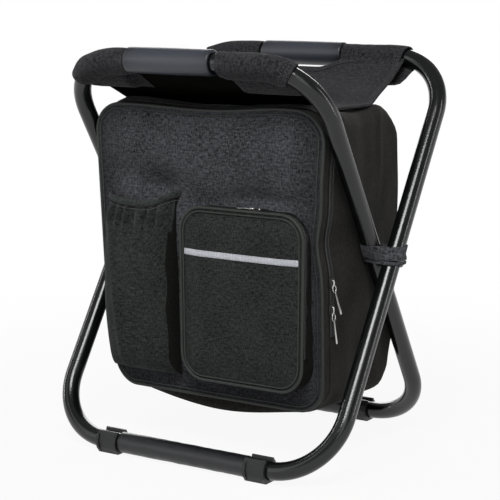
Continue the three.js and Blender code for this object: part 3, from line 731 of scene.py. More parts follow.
def hosePoints(start, end, look, steps=24):
    # a hose's outside with rounded lips, and the start of its bore at each end
    radius, bore, lip = look["radius"], look["bore"], look["lip"]
    turns = [pi / 2 * n / 5 for n in range(6)]
    front = [(start + lip * (1 - cos(turn)), radius - lip * (1 - sin(turn))) for turn in turns]
    middle = [(start + lip + (end - start - 2 * lip) * n / steps, radius) for n in range(1, steps)]
    back = [(start + end - x, r) for x, r in reversed(front)]
    mouth = [(start + 0.006, bore), (start + lip * 0.4, bore)]
    closing = [(end - lip * 0.4, bore), (end - 0.006, bore)]
    return mouth + front + middle + back + closing + [mouth[0]]


grips = {
    "frontGrip": {"start": -0.0645, "end": 0.0335, "side": -1, "body": "inner_frame", "node": "front_grip"},
    "rearGrip": {"start": -0.060, "end": 0.038, "side": 1, "body": "outer_frame", "node": "rear_grip"},
}
gripShape = {"radius": 0.0127, "bore": 0.0094, "lip": 0.0016, "barrel": 0.0003}

for name, look in grips.items():
    rail = (look["side"] * tube["railY"], tube["high"])
    obj = turned(name, hosePoints(look["start"], look["end"], gripShape), rail, 64)
    middle = (look["start"] + look["end"]) / 2
    for vertex in obj.data.vertices:  # a slight barrel, as foam has
        away = (vertex.co.x - middle) / (look["end"] - middle)
        swell = 1 + gripShape["barrel"] / gripShape["radius"] * (1 - away * away)
        vertex.co.y = rail[0] + (vertex.co.y - rail[0]) * swell
        vertex.co.z = rail[1] + (vertex.co.z - rail[1]) * swell
    dressed(smooth(obj, 60), foam, "grip", look["body"], look["node"])

floorSleeves = {
    "outerFloorHose": {"half": 0.0755, "side": -1, "body": "outer_frame", "node": "outer_floor_sleeve"},
    "innerFloorHose": {"half": 0.0535, "side": 1, "body": "inner_frame", "node": "inner_floor_sleeve"},
}
hoseShape = {"radius": 0.0106, "bore": 0.0094, "lip": 0.0007, "ripple": 0.00035}

for name, look in floorSleeves.items():
    rail = (look["side"] * tube["railY"], tube["low"])
    obj = turned(name, hosePoints(-look["half"], look["half"], hoseShape, 60), rail, 40)
    for vertex in obj.data.vertices:  # pulled on by hand, so it ripples a little
        ripple = hoseShape["ripple"] * rumple(vertex.co.x, vertex.co.y, vertex.co.z, 0.009, 3)
        out = Vector((0, vertex.co.y - rail[0], vertex.co.z - rail[1])).normalized()
        vertex.co += out * ripple
    dressed(smooth(obj, 60), hose, "sleeve", look["body"], look["node"])
print("grips and floor sleeves on")


# The bag: its shell, linings and door

bag = {
    "halfWidth": 0.129, "low": 0.060, "high": 0.352, "corner": 0.028,
    "front": -0.0683, "back": 0.0755, "topRounding": 0.034, "baseRounding": 0.026, "sideRounding": 0.008,
    "straight": 0.44, "curved": 0.32,  # shares of the grid's rows before and along the rear rounding
    "grid": (220, 84), "thick": 0.003, "ring": True, "angle": None,
}
outline = narrowed(bag, 0)
bag["flat"] = (ringLength(**outline), bag["back"] - bag["front"] + bag["halfWidth"])
lining = {
    "inset": 0.0046, "setBack": 0.0014, "flat": (bag["flat"][0], 0.27),
    "grid": (160, 60), "thick": 0.0008, "ring": True, "angle": None,
}


def settle(x, y, z):  # how the full bag leans, widens and waves towards its front
    ahead = ease(-y, -0.01, 0.068)
    wide = 0.025 * (z - 0.175) if x < 0 else 0.0040 * ease(z, 0.272, 0.338)  # straight where the sliders run
    wide *= x / bag["halfWidth"]
    dent = 0.0052 * hump(z, 0.228, 0.022) * ease(x, 0.06, 0.128)
    lean = -0.05 * (z - 0.21)
    wave = 0.0045 * hump(x, 0.088, 0.045) + 0.0015 * hump(x, -0.085, 0.04) - 0.001 * hump(x, 0, 0.04)
    pinch = 0.0075 * ease(-z, -0.150, -0.088) * ease(-x, 0.06, 0.129)  # drawn in at its lower left
    brim = 0.0070 * hump(y, -0.052, 0.012) * ease(z, 0.325, 0.35) * (0.6 + 0.4 * ease(-x, 0.02, 0.11))
    rise = wave * ahead * ease(z, 0.24, 0.345) + brim
    return Vector((x + (wide - dent + pinch) * ahead, y + lean * ahead, z + rise))


def roundedIn(y, start, radius):  # how far a face has rounded in at a depth
    share = min(max((y - start) / radius, 0), 1)
    return radius * (1 - sqrt(1 - share * share))


def shellSpot(across, along, inset, wallDepth):
    # round the bag, and from its open front over the rear rounding to the middle of the back
    straight, curved = bag["straight"], bag["curved"]
    front, rear, deep = bag["front"] + wallDepth, bag["back"] - inset, bag["topRounding"]
    shrink = 1.0
    if along < straight:
        y = front + (rear - deep - front) * along / straight
    elif along < straight + curved:
        y = rear - deep + deep * sin(pi / 2 * (along - straight) / curved)
    else:
        y = rear
        shrink = 1 - (along - straight - curved) / (1 - straight - curved)
    narrow = roundedIn(y, rear - bag["sideRounding"], bag["sideRounding"])
    high = bag["high"] - inset - roundedIn(y, rear - deep, deep)
    low = bag["low"] + inset + roundedIn(y, rear - bag["baseRounding"], bag["baseRounding"])
    corner = bag["corner"] - inset - 0.014 * ease(y, -0.060, -0.040)
    x, z, outX, outZ = ringPoint(across, bag["halfWidth"] - inset - narrow, low, high, corner)
    middle = (bag["low"] + bag["high"]) / 2 - 0.008 * ease(y, 0.03, 0.07)
    x, z = x * shrink, middle + (z - middle) * shrink
    # the base hangs, the sides belly and crease, and the seat presses on the top
    sag = 0.0210 * ease(y, -0.0675, -0.058) * ease(-y, -0.035, 0.035) * hump(x, -0.006, 0.104)
    sag *= ease(-z, -0.085, -0.062) * ease(-abs(x), -0.127, -0.096)
    belly = 0.0038 * ease(z, 0.07, 0.14) * ease(-z, -0.35, -0.27) * outX * shrink * ease(y, -0.06, 0.0)
    upper = ease(z, 0.32, 0.345)
    ridge = 0.0045 * ease(abs(x), 0.075, 0.118) * hump(y, 0.044, 0.020) * upper
    ridge -= 0.0036 * hump(y, 0.0, 0.042) * upper * max(outZ, 0) * ease(-abs(x), -0.126, -0.112)
    crease = 0.0020 * rumple(0, y, z * 0.25, 0.024, 5) + 0.0011 * rumple(x, y, z, 0.035, 9)
    crease += 0.0022 * hump(y - 0.12 * (z - 0.3), 0.030, 0.006) * ease(z, 0.22, 0.33) * abs(outX)
    crease *= shrink * ease(y, -0.060, -0.03) * (1 - 0.6 * upper * max(outZ, 0))
    seam = -0.0018 * hump(z, 0.164, 0.0020) * ease(abs(x), 0.118, 0.126) * shrink
    taper = -0.006 * ease(-z, -0.19, -0.08) * ease(y, 0.02, 0.075)
    pad = 0.0025 * (1 - shrink) ** 0.5 * (1 if shrink < 1 else 0)
    spot = Vector((x + outX * (crease + seam) + belly, y + taper + pad, z - sag + ridge + outZ * crease))
    return settle(*spot)


def flatBacked(obj):  # the weave runs straight across the back, not round its middle
    for polygon in obj.data.polygons:
        if abs(polygon.normal.y) > 0.8 and polygon.center.y > 0.04:
            mapped(obj, polygon, lambda spot: (spot.x, spot.z))
    return obj


def bagShell():
    obj = flatBacked(clothPiece("bagBody", bag, lambda a, b: shellSpot(a, b, 0.0, 0.0)))
    dressed(obj, cloths["sideCloth"], "gusset", "cooler_bag", "bag_shell")


def bagLining():
    def spot(across, along):
        return shellSpot(across, along, lining["inset"], lining["setBack"])

    obj = flatBacked(clothPiece("bagFoil", lining, spot))
    return dressed(obj, foil, "lining", "cooler_bag", "bag_lining")


bagShell()
bagFoil = bagLining()
print("bag body shaped")

door = {
    "front": -0.082, "rear": -0.0689, "thinnest": 0.003, "pillow": 0.005,
    "flat": (0.258, 0.292), "grid": (120, 132),
    "hollows": [  # depth, x, half width, z, reach below and above
        (0.0145, -0.052, 0.026, 0.272, 0.013, 0.017),
        (0.0065, -0.100, 0.018, 0.280, 0.016, 0.016),
        (0.0088, 0.060, 0.032, 0.268, 0.010, 0.016),
    ],
}


def doorSkin(x, z):  # how far the padded front stands out: full in the middle, drawn in round the pockets
    edge = min(bag["halfWidth"] - abs(x), bag["high"] - z, z - bag["low"])
    full = ease(edge, 0.0, 0.045)
    hollow = sum(
        depth * hump(x, middle, wide) * hump(z, level, below if z < level else above)
        for depth, middle, wide, level, below, above in door["hollows"]
    )
    hollow += 0.0048 * ease(x, -0.035, -0.010) * ease(-x, -0.125, -0.095) * hump(z, 0.261, 0.012)
    dent = 0.0012 * rumple(x, 0, z, 0.05, 4) + 0.0006 * rumple(x, 0, z, 0.02, 6)
    return door["pillow"] * full - (hollow - dent) * ease(edge, 0, 0.02)


def doorSpot(across, along):
    x, z = roundedSpot(across, along, **outline)
    spot = settle(x, door["front"], z)
    return Vector((spot.x, spot.y - doorSkin(x, z), spot.z))


def rimmed(obj, material):
    # the narrow side faces get their own cloth, and its threads run round them
    obj.data.materials.append(material)
    for polygon in obj.data.polygons:
        if abs(polygon.normal.y) < 0.5:
            polygon.material_index = 1
            upright = abs(polygon.normal.x) > 0.7
            mapped(obj, polygon, lambda spot: (spot.z if upright else spot.x, spot.y))


def doorPanel():
    def rear(x, y, z):
        return max(settle(x, door["rear"], z).y, y + door["thinnest"])

    obj = paddedFront("doorFront", door, doorSpot, rear)
    dressed(obj, cloths["frontCloth"], "heather", "front_door", "door_panel")
    rimmed(obj, cloths["sideCloth"])


doorPanel()

pipingFinish = mouldedPlastic("pipingCord", (16, 18, 17), (50, 54, 50), 0.5)


def pipingCord(name, points, radius, body, nodes):
    obj = cordAlong(name, points, radius, closed=True, sides=12)
    editAll(obj, welded, facedOut)
    return dressed(obj, pipingFinish, "piping", body, *nodes)


doorPiping = {
    "doorPipingCord": {
        "radius": 0.0016, "y": -0.0815, "nodes": ["door_piping"],
        "shape": {**outline, "halfWidth": bag["halfWidth"] - 0.0002},
    },
    "doorPipingInner": {"radius": 0.0007, "y": -0.0830, "nodes": [], "shape": narrowed(bag, 0.0045)},
}
for name, look in doorPiping.items():
    ring = [ringPoint(n / 260, **look["shape"]) for n in range(260)]
    points = [settle(x, look["y"], z) for x, z, outX, outZ in ring]
    pipingCord(name, points, look["radius"], "front_door", look["nodes"])

doorLining = {"inset": 0.0043, "setBack": 0.0010, "flat": (0.249, 0.283), "grid": (60, 66), "thick": 0.0008}


def doorFoil():
    def spot(across, along):
        x, z = roundedSpot(across, along, **narrowed(bag, doorLining["inset"]))
        return settle(x, door["rear"] + doorLining["setBack"], z)

    obj = thickened(clothGrid("doorFoil", doorLining, spot), doorLining["thick"], -1)
    editAll(obj, facedOut)
    return dressed(smooth(obj, 40), foil, "lining", "front_door", "door_lining")


doorFoilCloth = doorFoil()
print("door made")


# The seat

seat = {
    "left": -0.130, "right": 0.1145, "bottom": 0.3532, "curve": 3.0, "reach": 0.1165,
    "notch": 0.0155, "notchEnds": (0.030, 0.064),  # how deep it is scooped out, and where that eases off
    "scoops": {1: (-0.011, 1.0), -1: (-0.0155, 0.72)},  # rear and front: middle and share of the notch
    "flat": (0.2435, 0.251), "grid": (110, 110), "thick": 0.0014, "grows": 0,
}


def seatEnd(x, side):  # how far the cloth reaches to a rail: less where it is scooped out behind a grip
    middle, share = seat["scoops"][side]
    return seat["reach"] - seat["notch"] * share * (1 - ease(abs(x - middle), *seat["notchEnds"]))


def seatSpot(across, along):
    x = seat["left"] + (seat["right"] - seat["left"]) * across
    front, rear = -seatEnd(x, -1), seatEnd(x, 1)
    y = front + (rear - front) * along
    x += 0.0060 * hump(y, 0.012, 0.038) * ease(across, 0.6, 1.0)
    z = seat["bottom"] + seat["curve"] * y * y - 0.0032 * hump(abs(y), 0.036, 0.016)
    z += 0.0030 * ease(abs(y), 0.075, 0.12)
    z += 0.0008 * rumple(x, y, 0, 0.07, 2) + 0.0003 * rumple(x, y, 0, 0.02, 7)
    edge = min(across, 1 - across) * (seat["right"] - seat["left"])
    z += 0.0014 * hump(edge, 0, 0.005)  # the side hems curl up a little
    return Vector((x, y, z))


def shadedUnderneath(obj):  # painted shade: the seat cloth's downward faces take a near-black coated finish for the shadow under the seat
    obj.data.materials.append(undersideShade)
    for polygon in obj.data.polygons:
        if polygon.normal.z < -0.2:
            polygon.material_index = 1
    return obj


def seatSling():
    obj = clothPiece("seatCloth", seat, seatSpot)
    return shadedUnderneath(dressed(obj, cloths["seatCloth"], "seat", "sling", "seat_sling"))


hem = {
    "wide": 0.0085, "raised": 0.0010, "crown": 0.0003, "seams": (0.2, 0.82), "seamLift": 0.0005,
    "sideShare": 0.034, "endShare": 0.033, "scoopLength": 0.148,  # shares of the seat that a hem covers
    "grid": (8, 110), "thick": 0.0010, "grows": 0,
}


def seatHem(name, spot, length):
    # a doubled edge laid along spot(along, across) on the seat's upper side, with its two seams
    def raised(across, along):
        place = spot(along, across)
        return place + Vector((0, 0, hem["raised"] + hem["crown"] * sin(pi * across)))

    obj = clothPiece(name, {**hem, "flat": (hem["wide"], length)}, raised)
    dressed(obj, cloths["seatCloth"], "seat", "sling")
    for count, across in enumerate(hem["seams"]):
        line = [raised(across, 0.02 + 0.96 * n / 80) + Vector((0, 0, hem["seamLift"])) for n in range(81)]
        sewn(f"{name}Stitch{count}", line, "sling", lambda place: (0, 0, 1), 0.0001)
    return obj


def sideHem(across):  # a hem about 8 mm wide inside one side of the seat
    def spot(along, wide):
        inwards = (1 - wide) * hem["sideShare"] * (-1 if across > 0.5 else 1)
        return seatSpot(across + inwards, 0.03 + 0.94 * along)

    return spot


def scoopHem(side):  # and one that follows a scooped-out end
    def spot(along, wide):
        x = seat["scoops"][side][0] + (along - 0.5) * hem["scoopLength"]
        across = (x - seat["left"]) / (seat["right"] - seat["left"])
        inwards = (1 - wide) * hem["endShare"]
        return seatSpot(across, 1 - inwards if side > 0 else inwards)

    return spot


hems = {  # the line that each follows, and its length
    "seatHemRight": (sideHem(1.0), 0.24), "seatHemLeft": (sideHem(0.0), 0.24),
    "scoopHemRear": (scoopHem(1), 0.16), "scoopHemFront": (scoopHem(-1), 0.16),
}
seatCloth = seatSling()
seatHems = [seatHem(name, *look) for name, look in hems.items()]

sleeves = {
    "frontSleeveLeft": {
        "halfWidth": 0.144, "side": -1, "start": -0.0660, "end": -0.1355, "tip": 0.0270, "loose": 0.0002,
        "bump": 0.0024, "seams": (0.965,), "body": "inner_frame", "node": "front_seat_sleeve_left",
    },
    "frontSleeveRight": {
        "halfWidth": 0.144, "side": -1, "start": 0.0405, "end": 0.1165, "tip": 0.030, "loose": 0.0006,
        "seams": (0.9, 0.94, 0.975), "body": "inner_frame", "node": "front_seat_sleeve_right",
    },
    "rearSleeveLeft": {
        "halfWidth": 0.1635, "side": 1, "start": -0.0640, "end": -0.131, "tip": 0.0268, "loose": -0.0012,
        "seams": (0.965,), "body": "outer_frame", "node": "rear_seat_sleeve_left",
    },
    "rearSleeveRight": {
        "halfWidth": 0.1635, "side": 1, "start": 0.0395, "end": 0.1125, "tip": 0.030, "loose": 0.0006,
        "seams": (0.9, 0.94, 0.975), "body": "outer_frame", "node": "rear_seat_sleeve_right",
    },
}
sleeveShape = {
    "radius": 0.0112, "dip": 0.62, "wide": 0.094,
    "grid": (110, 64), "thick": 0.0011, "ring": True, "angle": 70,
}


def railSpot(reach, look):
    # the rail's centre and heading at a sideways reach: straight, then slackly over the bend
    straight = look["halfWidth"] - tube["bend"]
    over = max(0.0, abs(reach) - straight)
    turned = min(over / tube["bend"], 0.98)
    angle = turned * 1.05
    drop = tube["bend"] * (1 - cos(angle)) * 0.86
    out = straight + tube["bend"] * sin(angle) if over else abs(reach)
    sign = 1 if reach > 0 else -1
    lean = 2 * tube["railY"] / loopLength
    rise = (tube["high"] - tube["low"]) / loopLength
    centre = Vector((sign * out, look["side"] * (tube["railY"] - drop * lean), tube["high"] - drop * rise))
    heading = Vector((cos(angle) * sign, -sin(angle) * lean * look["side"], -sin(angle) * rise)).normalized()
    return centre, heading


def sleeveSpot(across, along, look):
    reach = look["start"] + (look["end"] - look["start"]) * along
    centre, heading = railSpot(reach, look)
    inward = Vector((0, -look["side"], 0))
    inward = (inward - heading * inward.dot(heading)).normalized()
    up = Vector((0, 0, 1)) - heading * heading.z
    up = (up - inward * up.dot(inward)).normalized()
    # from the tail's tip, over the top, and back underneath, with closer steps at the tip
    angle = tau * across - 0.75 * sin(tau * across)
    dip = sleeveShape["dip"]
    tail = inward * cos(dip) - up * sin(dip)
    over = inward * sin(dip) + up * cos(dip)
    away = min(angle, tau - angle)
    mouth = ease(along, 0.0, 0.10) * ease(-along, -1.0, -0.88)
    radius = sleeveShape["radius"] + look["loose"] * ease(along, 0.25, 0.95)
    reachOut = radius + (look["tip"] - radius) * exp(-away / (0.16 if angle < pi else 0.30))
    reachOut += look.get("bump", 0) * hump(along, 0.80, 0.12) * max(sin(angle), 0)
    if angle > pi:  # the under layer hangs a little
        reachOut += 0.0020 * hump(away, 0.7, 0.5) * (0.5 + mouth)
    fold = rumple(centre.x * 0.6, angle * 0.011, look["side"] * 0.05, 0.017, 3)
    fold += 0.35 * rumple(centre.x, angle * 0.012, look["side"] * 0.09, 0.008, 8)
    reachOut += (0.0004 + look["loose"] * 0.6) * fold * (0.35 + mouth)
    return centre + tail * (cos(angle) * reachOut) + over * (sin(angle) * reachOut)


underShape = {
    "wide": 0.052, "flare": 0.013, "grid": (50, 30), "thick": 0.0011, "grows": 0,
    "profile": (  # the distance from the middle and the height, from the rail inwards
        (0.1235, 0.3885), (0.1190, 0.3840), (0.1120, 0.3772), (0.1040, 0.3725), (0.0950, 0.3712),
        (0.0870, 0.3718), (0.0800, 0.3722),
    ),
}


def underFlap(name, look):
    # the cloth's second layer: it leaves the rail underneath, hangs, and is sewn to the seat further in
    side, start, end = look["side"], look["start"], look["end"]
    profile = underShape["profile"]

    def spot(across, along):
        widest = max(min(end, seat["right"]), seat["left"])
        widest += underShape["flare"] * (1 - along) ** 2 if end > 0 else 0
        x = start + (widest - start) * across
        place = along * (len(profile) - 1)
        low = min(int(place), len(profile) - 2)
        share = place - low
        y, z = (a + (b - a) * share for a, b in zip(profile[low], profile[low + 1]))
        inner = seatSpot((x - seat["left"]) / (seat["right"] - seat["left"]), 0.5)[2] - seat["bottom"]
        above = seat["bottom"] + seat["curve"] * y * y
        drop, high = min(z, above - 0.0008), above - 0.0012
        near = ease(across, 0.0, 0.22)  # beside the grip it is gathered up under the rail
        z = high + (drop - high) * near + inner * 0.2
        z += 0.0012 * rumple(x, y, z, 0.018, 5) * (1 - along)
        return x, side * y, z

    obj = clothPiece(name, {**underShape, "flat": (abs(end - start), underShape["wide"])}, spot)
    return dressed(obj, cloths["seatCloth"], "seat", "sling")


sewnPieces = {}
for name, look in sleeves.items():
    under = name.replace("Sleeve", "Under")
    sewnPieces[under] = underFlap(under, look)

for name, look in sleeves.items():
    flat = (sleeveShape["wide"], abs(look["end"] - look["start"]))
    obj = clothPiece(name, {**sleeveShape, "flat": flat}, lambda a, b: sleeveSpot(a, b, look))
    sewnPieces[name] = dressed(obj, cloths["seatCloth"], "seat", look["body"], look["node"])
    for count, along in enumerate(look["seams"]):
        ring = [sleeveSpot(0.02 + 0.96 * n / 60, along, look) for n in range(61)]
        centre = railSpot(look["start"] + (look["end"] - look["start"]) * along, look)[0]
        sewn(f"{name}Stitch{count}", ring, look["body"], lambda spot: spot - centre, 0.0001, 0.0034)
print("seat sewn")


# The zipped pocket

pocket = {
    "middle": 0.045, "halfWidth": 0.074, "low": 0.080, "high": 0.259, "corner": 0.028,
    "front": -0.0955, "rear": -0.0930, "inset": 0.0034, "flat": (0.1412, 0.1772), "grid": (90, 110),
}
gusset = {
    "front": -0.0925, "rear": -0.0765, "flat": (ringLength(**narrowed(pocket, 0)), 0.016),
    "grid": (200, 12), "thick": 0.0012, "ring": True,
}


def leaning(x, z):  # the pocket's left side leans inwards towards its bottom
    left = (pocket["middle"] + pocket["halfWidth"] - x) / (2 * pocket["halfWidth"])
    return x + left * (0.0012 + 0.0220 * (pocket["high"] - z))


def pocketRing(share, inset, y):
    x, z, outX, outZ = ringPoint(share, **narrowed(pocket, inset))
    return Vector((leaning(x + pocket["middle"], z), y, z)), Vector((outX, 0, outZ))


def pocketGusset():
    def spot(across, along):
        y = gusset["rear"] + (gusset["front"] - gusset["rear"]) * along
        point, out = pocketRing(across, pocket["inset"] * ease(along, 0, 0.7), y)
        fold = 0.0007 * rumple(point.x, y, point.z, 0.012, 5) + 0.0008 * sin(pi * along)
        return point + out * fold

    obj = clothPiece("pocketWall", gusset, spot)
    # painted shade: the walls take the near-black cloth for the deep shadow round the pocket
    return dressed(obj, cloths["shadeCloth"], "heather", "front_door", "pocket_gusset")


def pocketSkin(x, z):  # how far the pocket's front stands out
    face = narrowed(pocket, pocket["inset"])
    edge = min(face["halfWidth"] - abs(x - pocket["middle"]), face["high"] - z, z - face["low"])
    dent = 0.0010 * rumple(x, 0, z, 0.045, 12) + 0.0004 * rumple(x, 0, z, 0.016, 2)
    return 0.0036 * ease(edge, 0, 0.028) + dent * ease(edge, 0, 0.02)


def pocketPanel():
    def spot(across, along):
        x, z = roundedSpot(across, along, **narrowed(pocket, pocket["inset"]))
        x += pocket["middle"]
        return leaning(x, z), pocket["front"] - pocketSkin(x, z), z

    obj = paddedFront("pocketFront", pocket, spot, lambda x, y, z: pocket["rear"])
    return dressed(obj, cloths["pocketCloth"], "heather", "pocket_flap", "pocket_panel")


pocketPiping = {
    "pocketPipingCord": {"radius": 0.0015, "inset": 0.0026, "y": -0.0955, "nodes": ["pocket_piping"]},
    "pocketPipingInner": {"radius": 0.0008, "inset": 0.0064, "y": -0.0966, "nodes": []},
}

stripShape = {
    "low": 0.2079, "high": 0.2141, "left": -0.0215, "right": 0.1115, "proud": 0.0003, "crown": 0.0004,
    "seams": (0.12, 0.88), "flat": (0.133, 0.0062), "grid": (90, 6), "thick": 0.0005,
}


def brightStrip():
    def spot(across, along):
        x = stripShape["left"] + (stripShape["right"] - stripShape["left"]) * across
        z = stripShape["low"] + (stripShape["high"] - stripShape["low"]) * along
        rise = stripShape["crown"] * (1 - abs(along * 2 - 1) ** 4)
        return leaning(x, z), pocket["front"] - pocketSkin(x, z) - stripShape["proud"] - rise, z

    obj = clothPiece("stripBand", stripShape, spot)
    dressed(obj, strip, "strip", "pocket_flap", "bright_strip")
    for count, along in enumerate(stripShape["seams"]):
        line = [spot(n / 60, along) for n in range(61)]
        sewn(f"stripStitch{count}", line, "pocket_flap", lambda place: (0, -1, 0))


pocketCloth = pocketGusset()
pocketPanel()
for name, look in pocketPiping.items():
    points = [pocketRing(n / 220, look["inset"], look["y"])[0] for n in range(220)]
    pipingCord(name, points, look["radius"], "pocket_flap", look["nodes"])
brightStrip()
print("zipped pocket made")


# Zips

zipShape = {
    "tooth": (0.0011, 0.0036, 0.0010), "toothEdge": 0.0003, "step": 0.0021, "groove": 0.0006, "proud": 0.0002,
    "grid": (240, 10), "thick": 0.0006,
}


def toothUnit():  # one turn of the zip's coil, seen as a rounded bar across the tape
    bpy.ops.mesh.primitive_cube_add(size=1)
    obj = named("tooth")
    obj.scale = zipShape["tooth"]
    applied(obj)
    return editAll(obj, lambda: bpy.ops.mesh.bevel(offset=zipShape["toothEdge"], segments=1))


tooth = toothUnit()


def zipBand(name, ring, look):
    # tape on both sides of a coil that follows ring(share, y), which gives a spot and the way out
    (start, end), wide, height = look["shares"], look["wide"], look["height"]
    reach = [ring(start + (end - start) * n / 300, look["y"]) for n in range(301)]
    length = sum((b[0] - a[0]).length for a, b in zip(reach, reach[1:]))

    def spot(across, along):
        point, out = ring(start + (end - start) * across, look["y"] + (along - 0.5) * wide)
        return point + out * (height - zipShape["groove"] * hump(along, 0.5, 0.06))

    obj = clothPiece(name, {**zipShape, "flat": (length, wide)}, spot)
    dressed(obj, tape, "zip", look["body"], look["node"])
    line = [point + out * (height + zipShape["proud"]) for point, out in reach]

    def outward(place):
        nearest = min(range(0, 301, 4), key=lambda n: (line[n] - place).length)
        return reach[nearest][1]

    teeth = repeated(name + "Teeth", tooth, evenly(line, zipShape["step"]), outward)
    dressed(teeth, teethPlastic, "zip", look["body"])


def bagZipRing(share, y):
    x, z, outX, outZ = ringPoint(share, **outline)
    return settle(x, y, z), Vector((outX, 0, outZ))


mainZip = {
    "shares": (0.183, 0.817), "y": -0.0638, "wide": 0.0078, "height": 0.0012,
    "body": "cooler_bag", "node": "main_zip_tape",
}
pocketZip = {
    "shares": (0.160, 0.840), "y": -0.0884, "wide": 0.0072, "height": 0.0008,
    "body": "front_door", "node": "pocket_zip",
}
zipBand("mainZip", bagZipRing, mainZip)
zipBand("pocketZip", lambda share, y: pocketRing(share, pocket["inset"], y), pocketZip)
print("zips sewn in")


# The gathered bottle pocket

bottle = {
    "middle": -0.0785, "halfWidth": 0.0450, "low": 0.079, "high": 0.2565, "door": -0.0785, "front": -0.0978,
    "flat": (0.118, 0.178), "grid": (170, 130), "thick": 0.0012, "angle": 70,
}
tunnel = {"place": 0.985, "deep": 0.0019, "high": 0.0035, "flat": (0.11, 0.019), "grid": (170, 20)}


def bottleTop(x):  # the elastic hem droops in the middle and is caught up at its right end
    away = (x - bottle["middle"]) / bottle["halfWidth"]
    return 0.0045 * away * away + 0.0075 * ease(away, 0.3, 1.0) + 0.0005


def bottleSpot(across, along, proud=0.0, gathered=1.0):
    angle = pi * across
    side, ahead = -cos(angle), sin(angle)
    x = bottle["middle"] + (bottle["halfWidth"] + proud) * abs(side) ** 0.8 * (1 if side > 0 else -1)
    close = min(along / 0.10, 1.0)
    deep = (bottle["door"] - bottle["front"] + proud) * sqrt(1 - (1 - close) ** 2)
    high = bottle["high"] + bottleTop(x)
    z = bottle["low"] + (high - bottle["low"]) * along
    belly = 1 + 0.28 * sin(pi * along) ** 0.8 - 0.10 * ease(along, 0.84, 0.97)
    y = bottle["door"] - deep * ahead ** 0.55 * belly
    # puckers hang below the elastic and fade out downwards
    waves = sin(x * 440 + 2.4 * rumple(x, 0, 0, 0.02, 4))
    gather = 0.0040 * hump(along, 0.900, 0.050) * waves * gathered
    gather += 0.0012 * rumple(x, 0, z * 0.35, 0.012, 3) * ease(along, 0.1, 0.5) * ease(-along, -0.95, -0.85)
    slump = 0.0022 * rumple(x * 0.4, 0, z, 0.03, 6) + 0.0018 * hump(x + (z - 0.2) * 0.12, -0.108, 0.005)
    slump *= ease(-along, -0.97, -0.88)
    y += (gather - slump) * ahead ** 0.4
    squeeze = 0.0060 * ease(along, 0.80, 0.97) * min(side, 0)
    tucked = 0.0055 * ease(-z, -0.150, -0.088) * ease(-x, 0.08, 0.123)
    return Vector((x - squeeze + tucked, y, z))


def bottlePocket():
    obj = clothPiece("bottleCloth", bottle, bottleSpot)
    dressed(obj, cloths["pocketCloth"], "heather", "front_door", "bottle_pocket")
    obj.data.materials.append(cloths["shadeCloth"])
    for polygon in obj.data.polygons:  # painted shade: its inner side and its inside get the near-black cloth, where shade falls between the pockets and inside the pocket
        reach = 0.030 if polygon.center.z < 0.228 else 0.042
        inner = polygon.center.x > bottle["middle"] + reach and polygon.normal.x > 0.55
        if inner or polygon.normal.y > 0.2:
            polygon.material_index = 1

    def hemSpot(across, along):  # a rolled tunnel of cloth with the elastic inside
        angle = tau * along
        base = bottleSpot(across, tunnel["place"], 0.0, 0.0)
        ahead = Vector((-cos(pi * across) * 0.6, -sin(pi * across), 0)).normalized()
        pucker = 1 + 0.16 * sin(base.x * 620 + 2 * rumple(base.x, 0, 0, 0.012, 3)) * max(sin(angle), 0)
        out = 0.0004 + tunnel["deep"] * cos(angle) * pucker
        return base + ahead * out + Vector((0, 0, tunnel["high"] * sin(angle)))

    rolled = editAll(clothGrid("bottleHem", tunnel, hemSpot), welded, facedOut)
    dressed(smooth(rolled, 70), cloths["hemCloth"], "piping", "front_door", "bottle_pocket_hem")
    seam = [bottleSpot(0.03 + 0.94 * n / 60, 0.952, 0.0010, 0.4) for n in range(61)]
    sewn("bottleHemStitch", seam, "front_door", lambda place: (0, -1, 0))
    return obj, rolled


bottleCloth, bottleHem = bottlePocket()
print("bottle pocket gathered")


# Leg bands at the crossing

bandShape = {
    "low": 0.2022, "high": 0.2196, "loose": 0.0016, "middle": 0.154, "head": 0.1756, "headRadius": 0.0072,
    "flat": (0.1365, 0.0174), "grid": (160, 12), "thick": 0.0013, "ring": True,
}


@cache
def bandRing(z):
    # drawn tight round both legs where they cross and round the rivet's head
    slope = 2 * tube["railY"] / (tube["high"] - tube["low"])
    shift = (z - pivot[2]) * slope
    wide, deep = tube["radius"] + bandShape["loose"], tube["radius"] * 1.19 + bandShape["loose"]
    over = sqrt(max(bandShape["headRadius"] ** 2 - (z - pivot[2]) ** 2, 0))
    crossing = ((loops["innerLoop"]["halfWidth"], -1), (loops["outerLoop"]["halfWidth"], 1))
    points = []
    for n in range(240):
        outX, outY = sin(tau * n / 240), -cos(tau * n / 240)
        far = hypot(wide * outX, deep * outY)
        legs = [
            (halfWidth + wide * wide * outX / far, sign * shift + deep * deep * outY / far)
            for halfWidth, sign in crossing
        ]
        if over:
            legs += [(bandShape["head"], over), (bandShape["head"], -over)]
        x, y = max(legs, key=lambda spot: spot[0] * outX + spot[1] * outY)
        points.append(Vector((x, y, z)))
    return [spot for spot, heading in evenly(points, bandShape["flat"][0] / 160, closed=True)]


def bandSpot(across, along, side):
    z = bandShape["low"] + (bandShape["high"] - bandShape["low"]) * along
    ring = bandRing(z)
    place = across * len(ring) % len(ring)
    low = int(place)
    spot = ring[low % len(ring)].lerp(ring[(low + 1) % len(ring)], place - low)
    out = Vector((spot.x - bandShape["middle"], spot.y * 1.6, 0)).normalized()
    fold = 0.0004 * rumple(spot.x, spot.y, z, 0.011, 11) + 0.0005 * sin(pi * along)
    spot = spot + out * fold
    return Vector((side * spot.x, spot.y, z + 0.0012 * hump(spot.y, -0.02, 0.012)))


for side, word in ((1, "right"), (-1, "left")):
    obj = clothPiece(word + "LegBand", bandShape, lambda a, b: bandSpot(a, b, side))
    dressed(obj, cloths["bandCloth"], "strap", "cooler_bag", "leg_band_" + word)


# Shoulder straps on the back

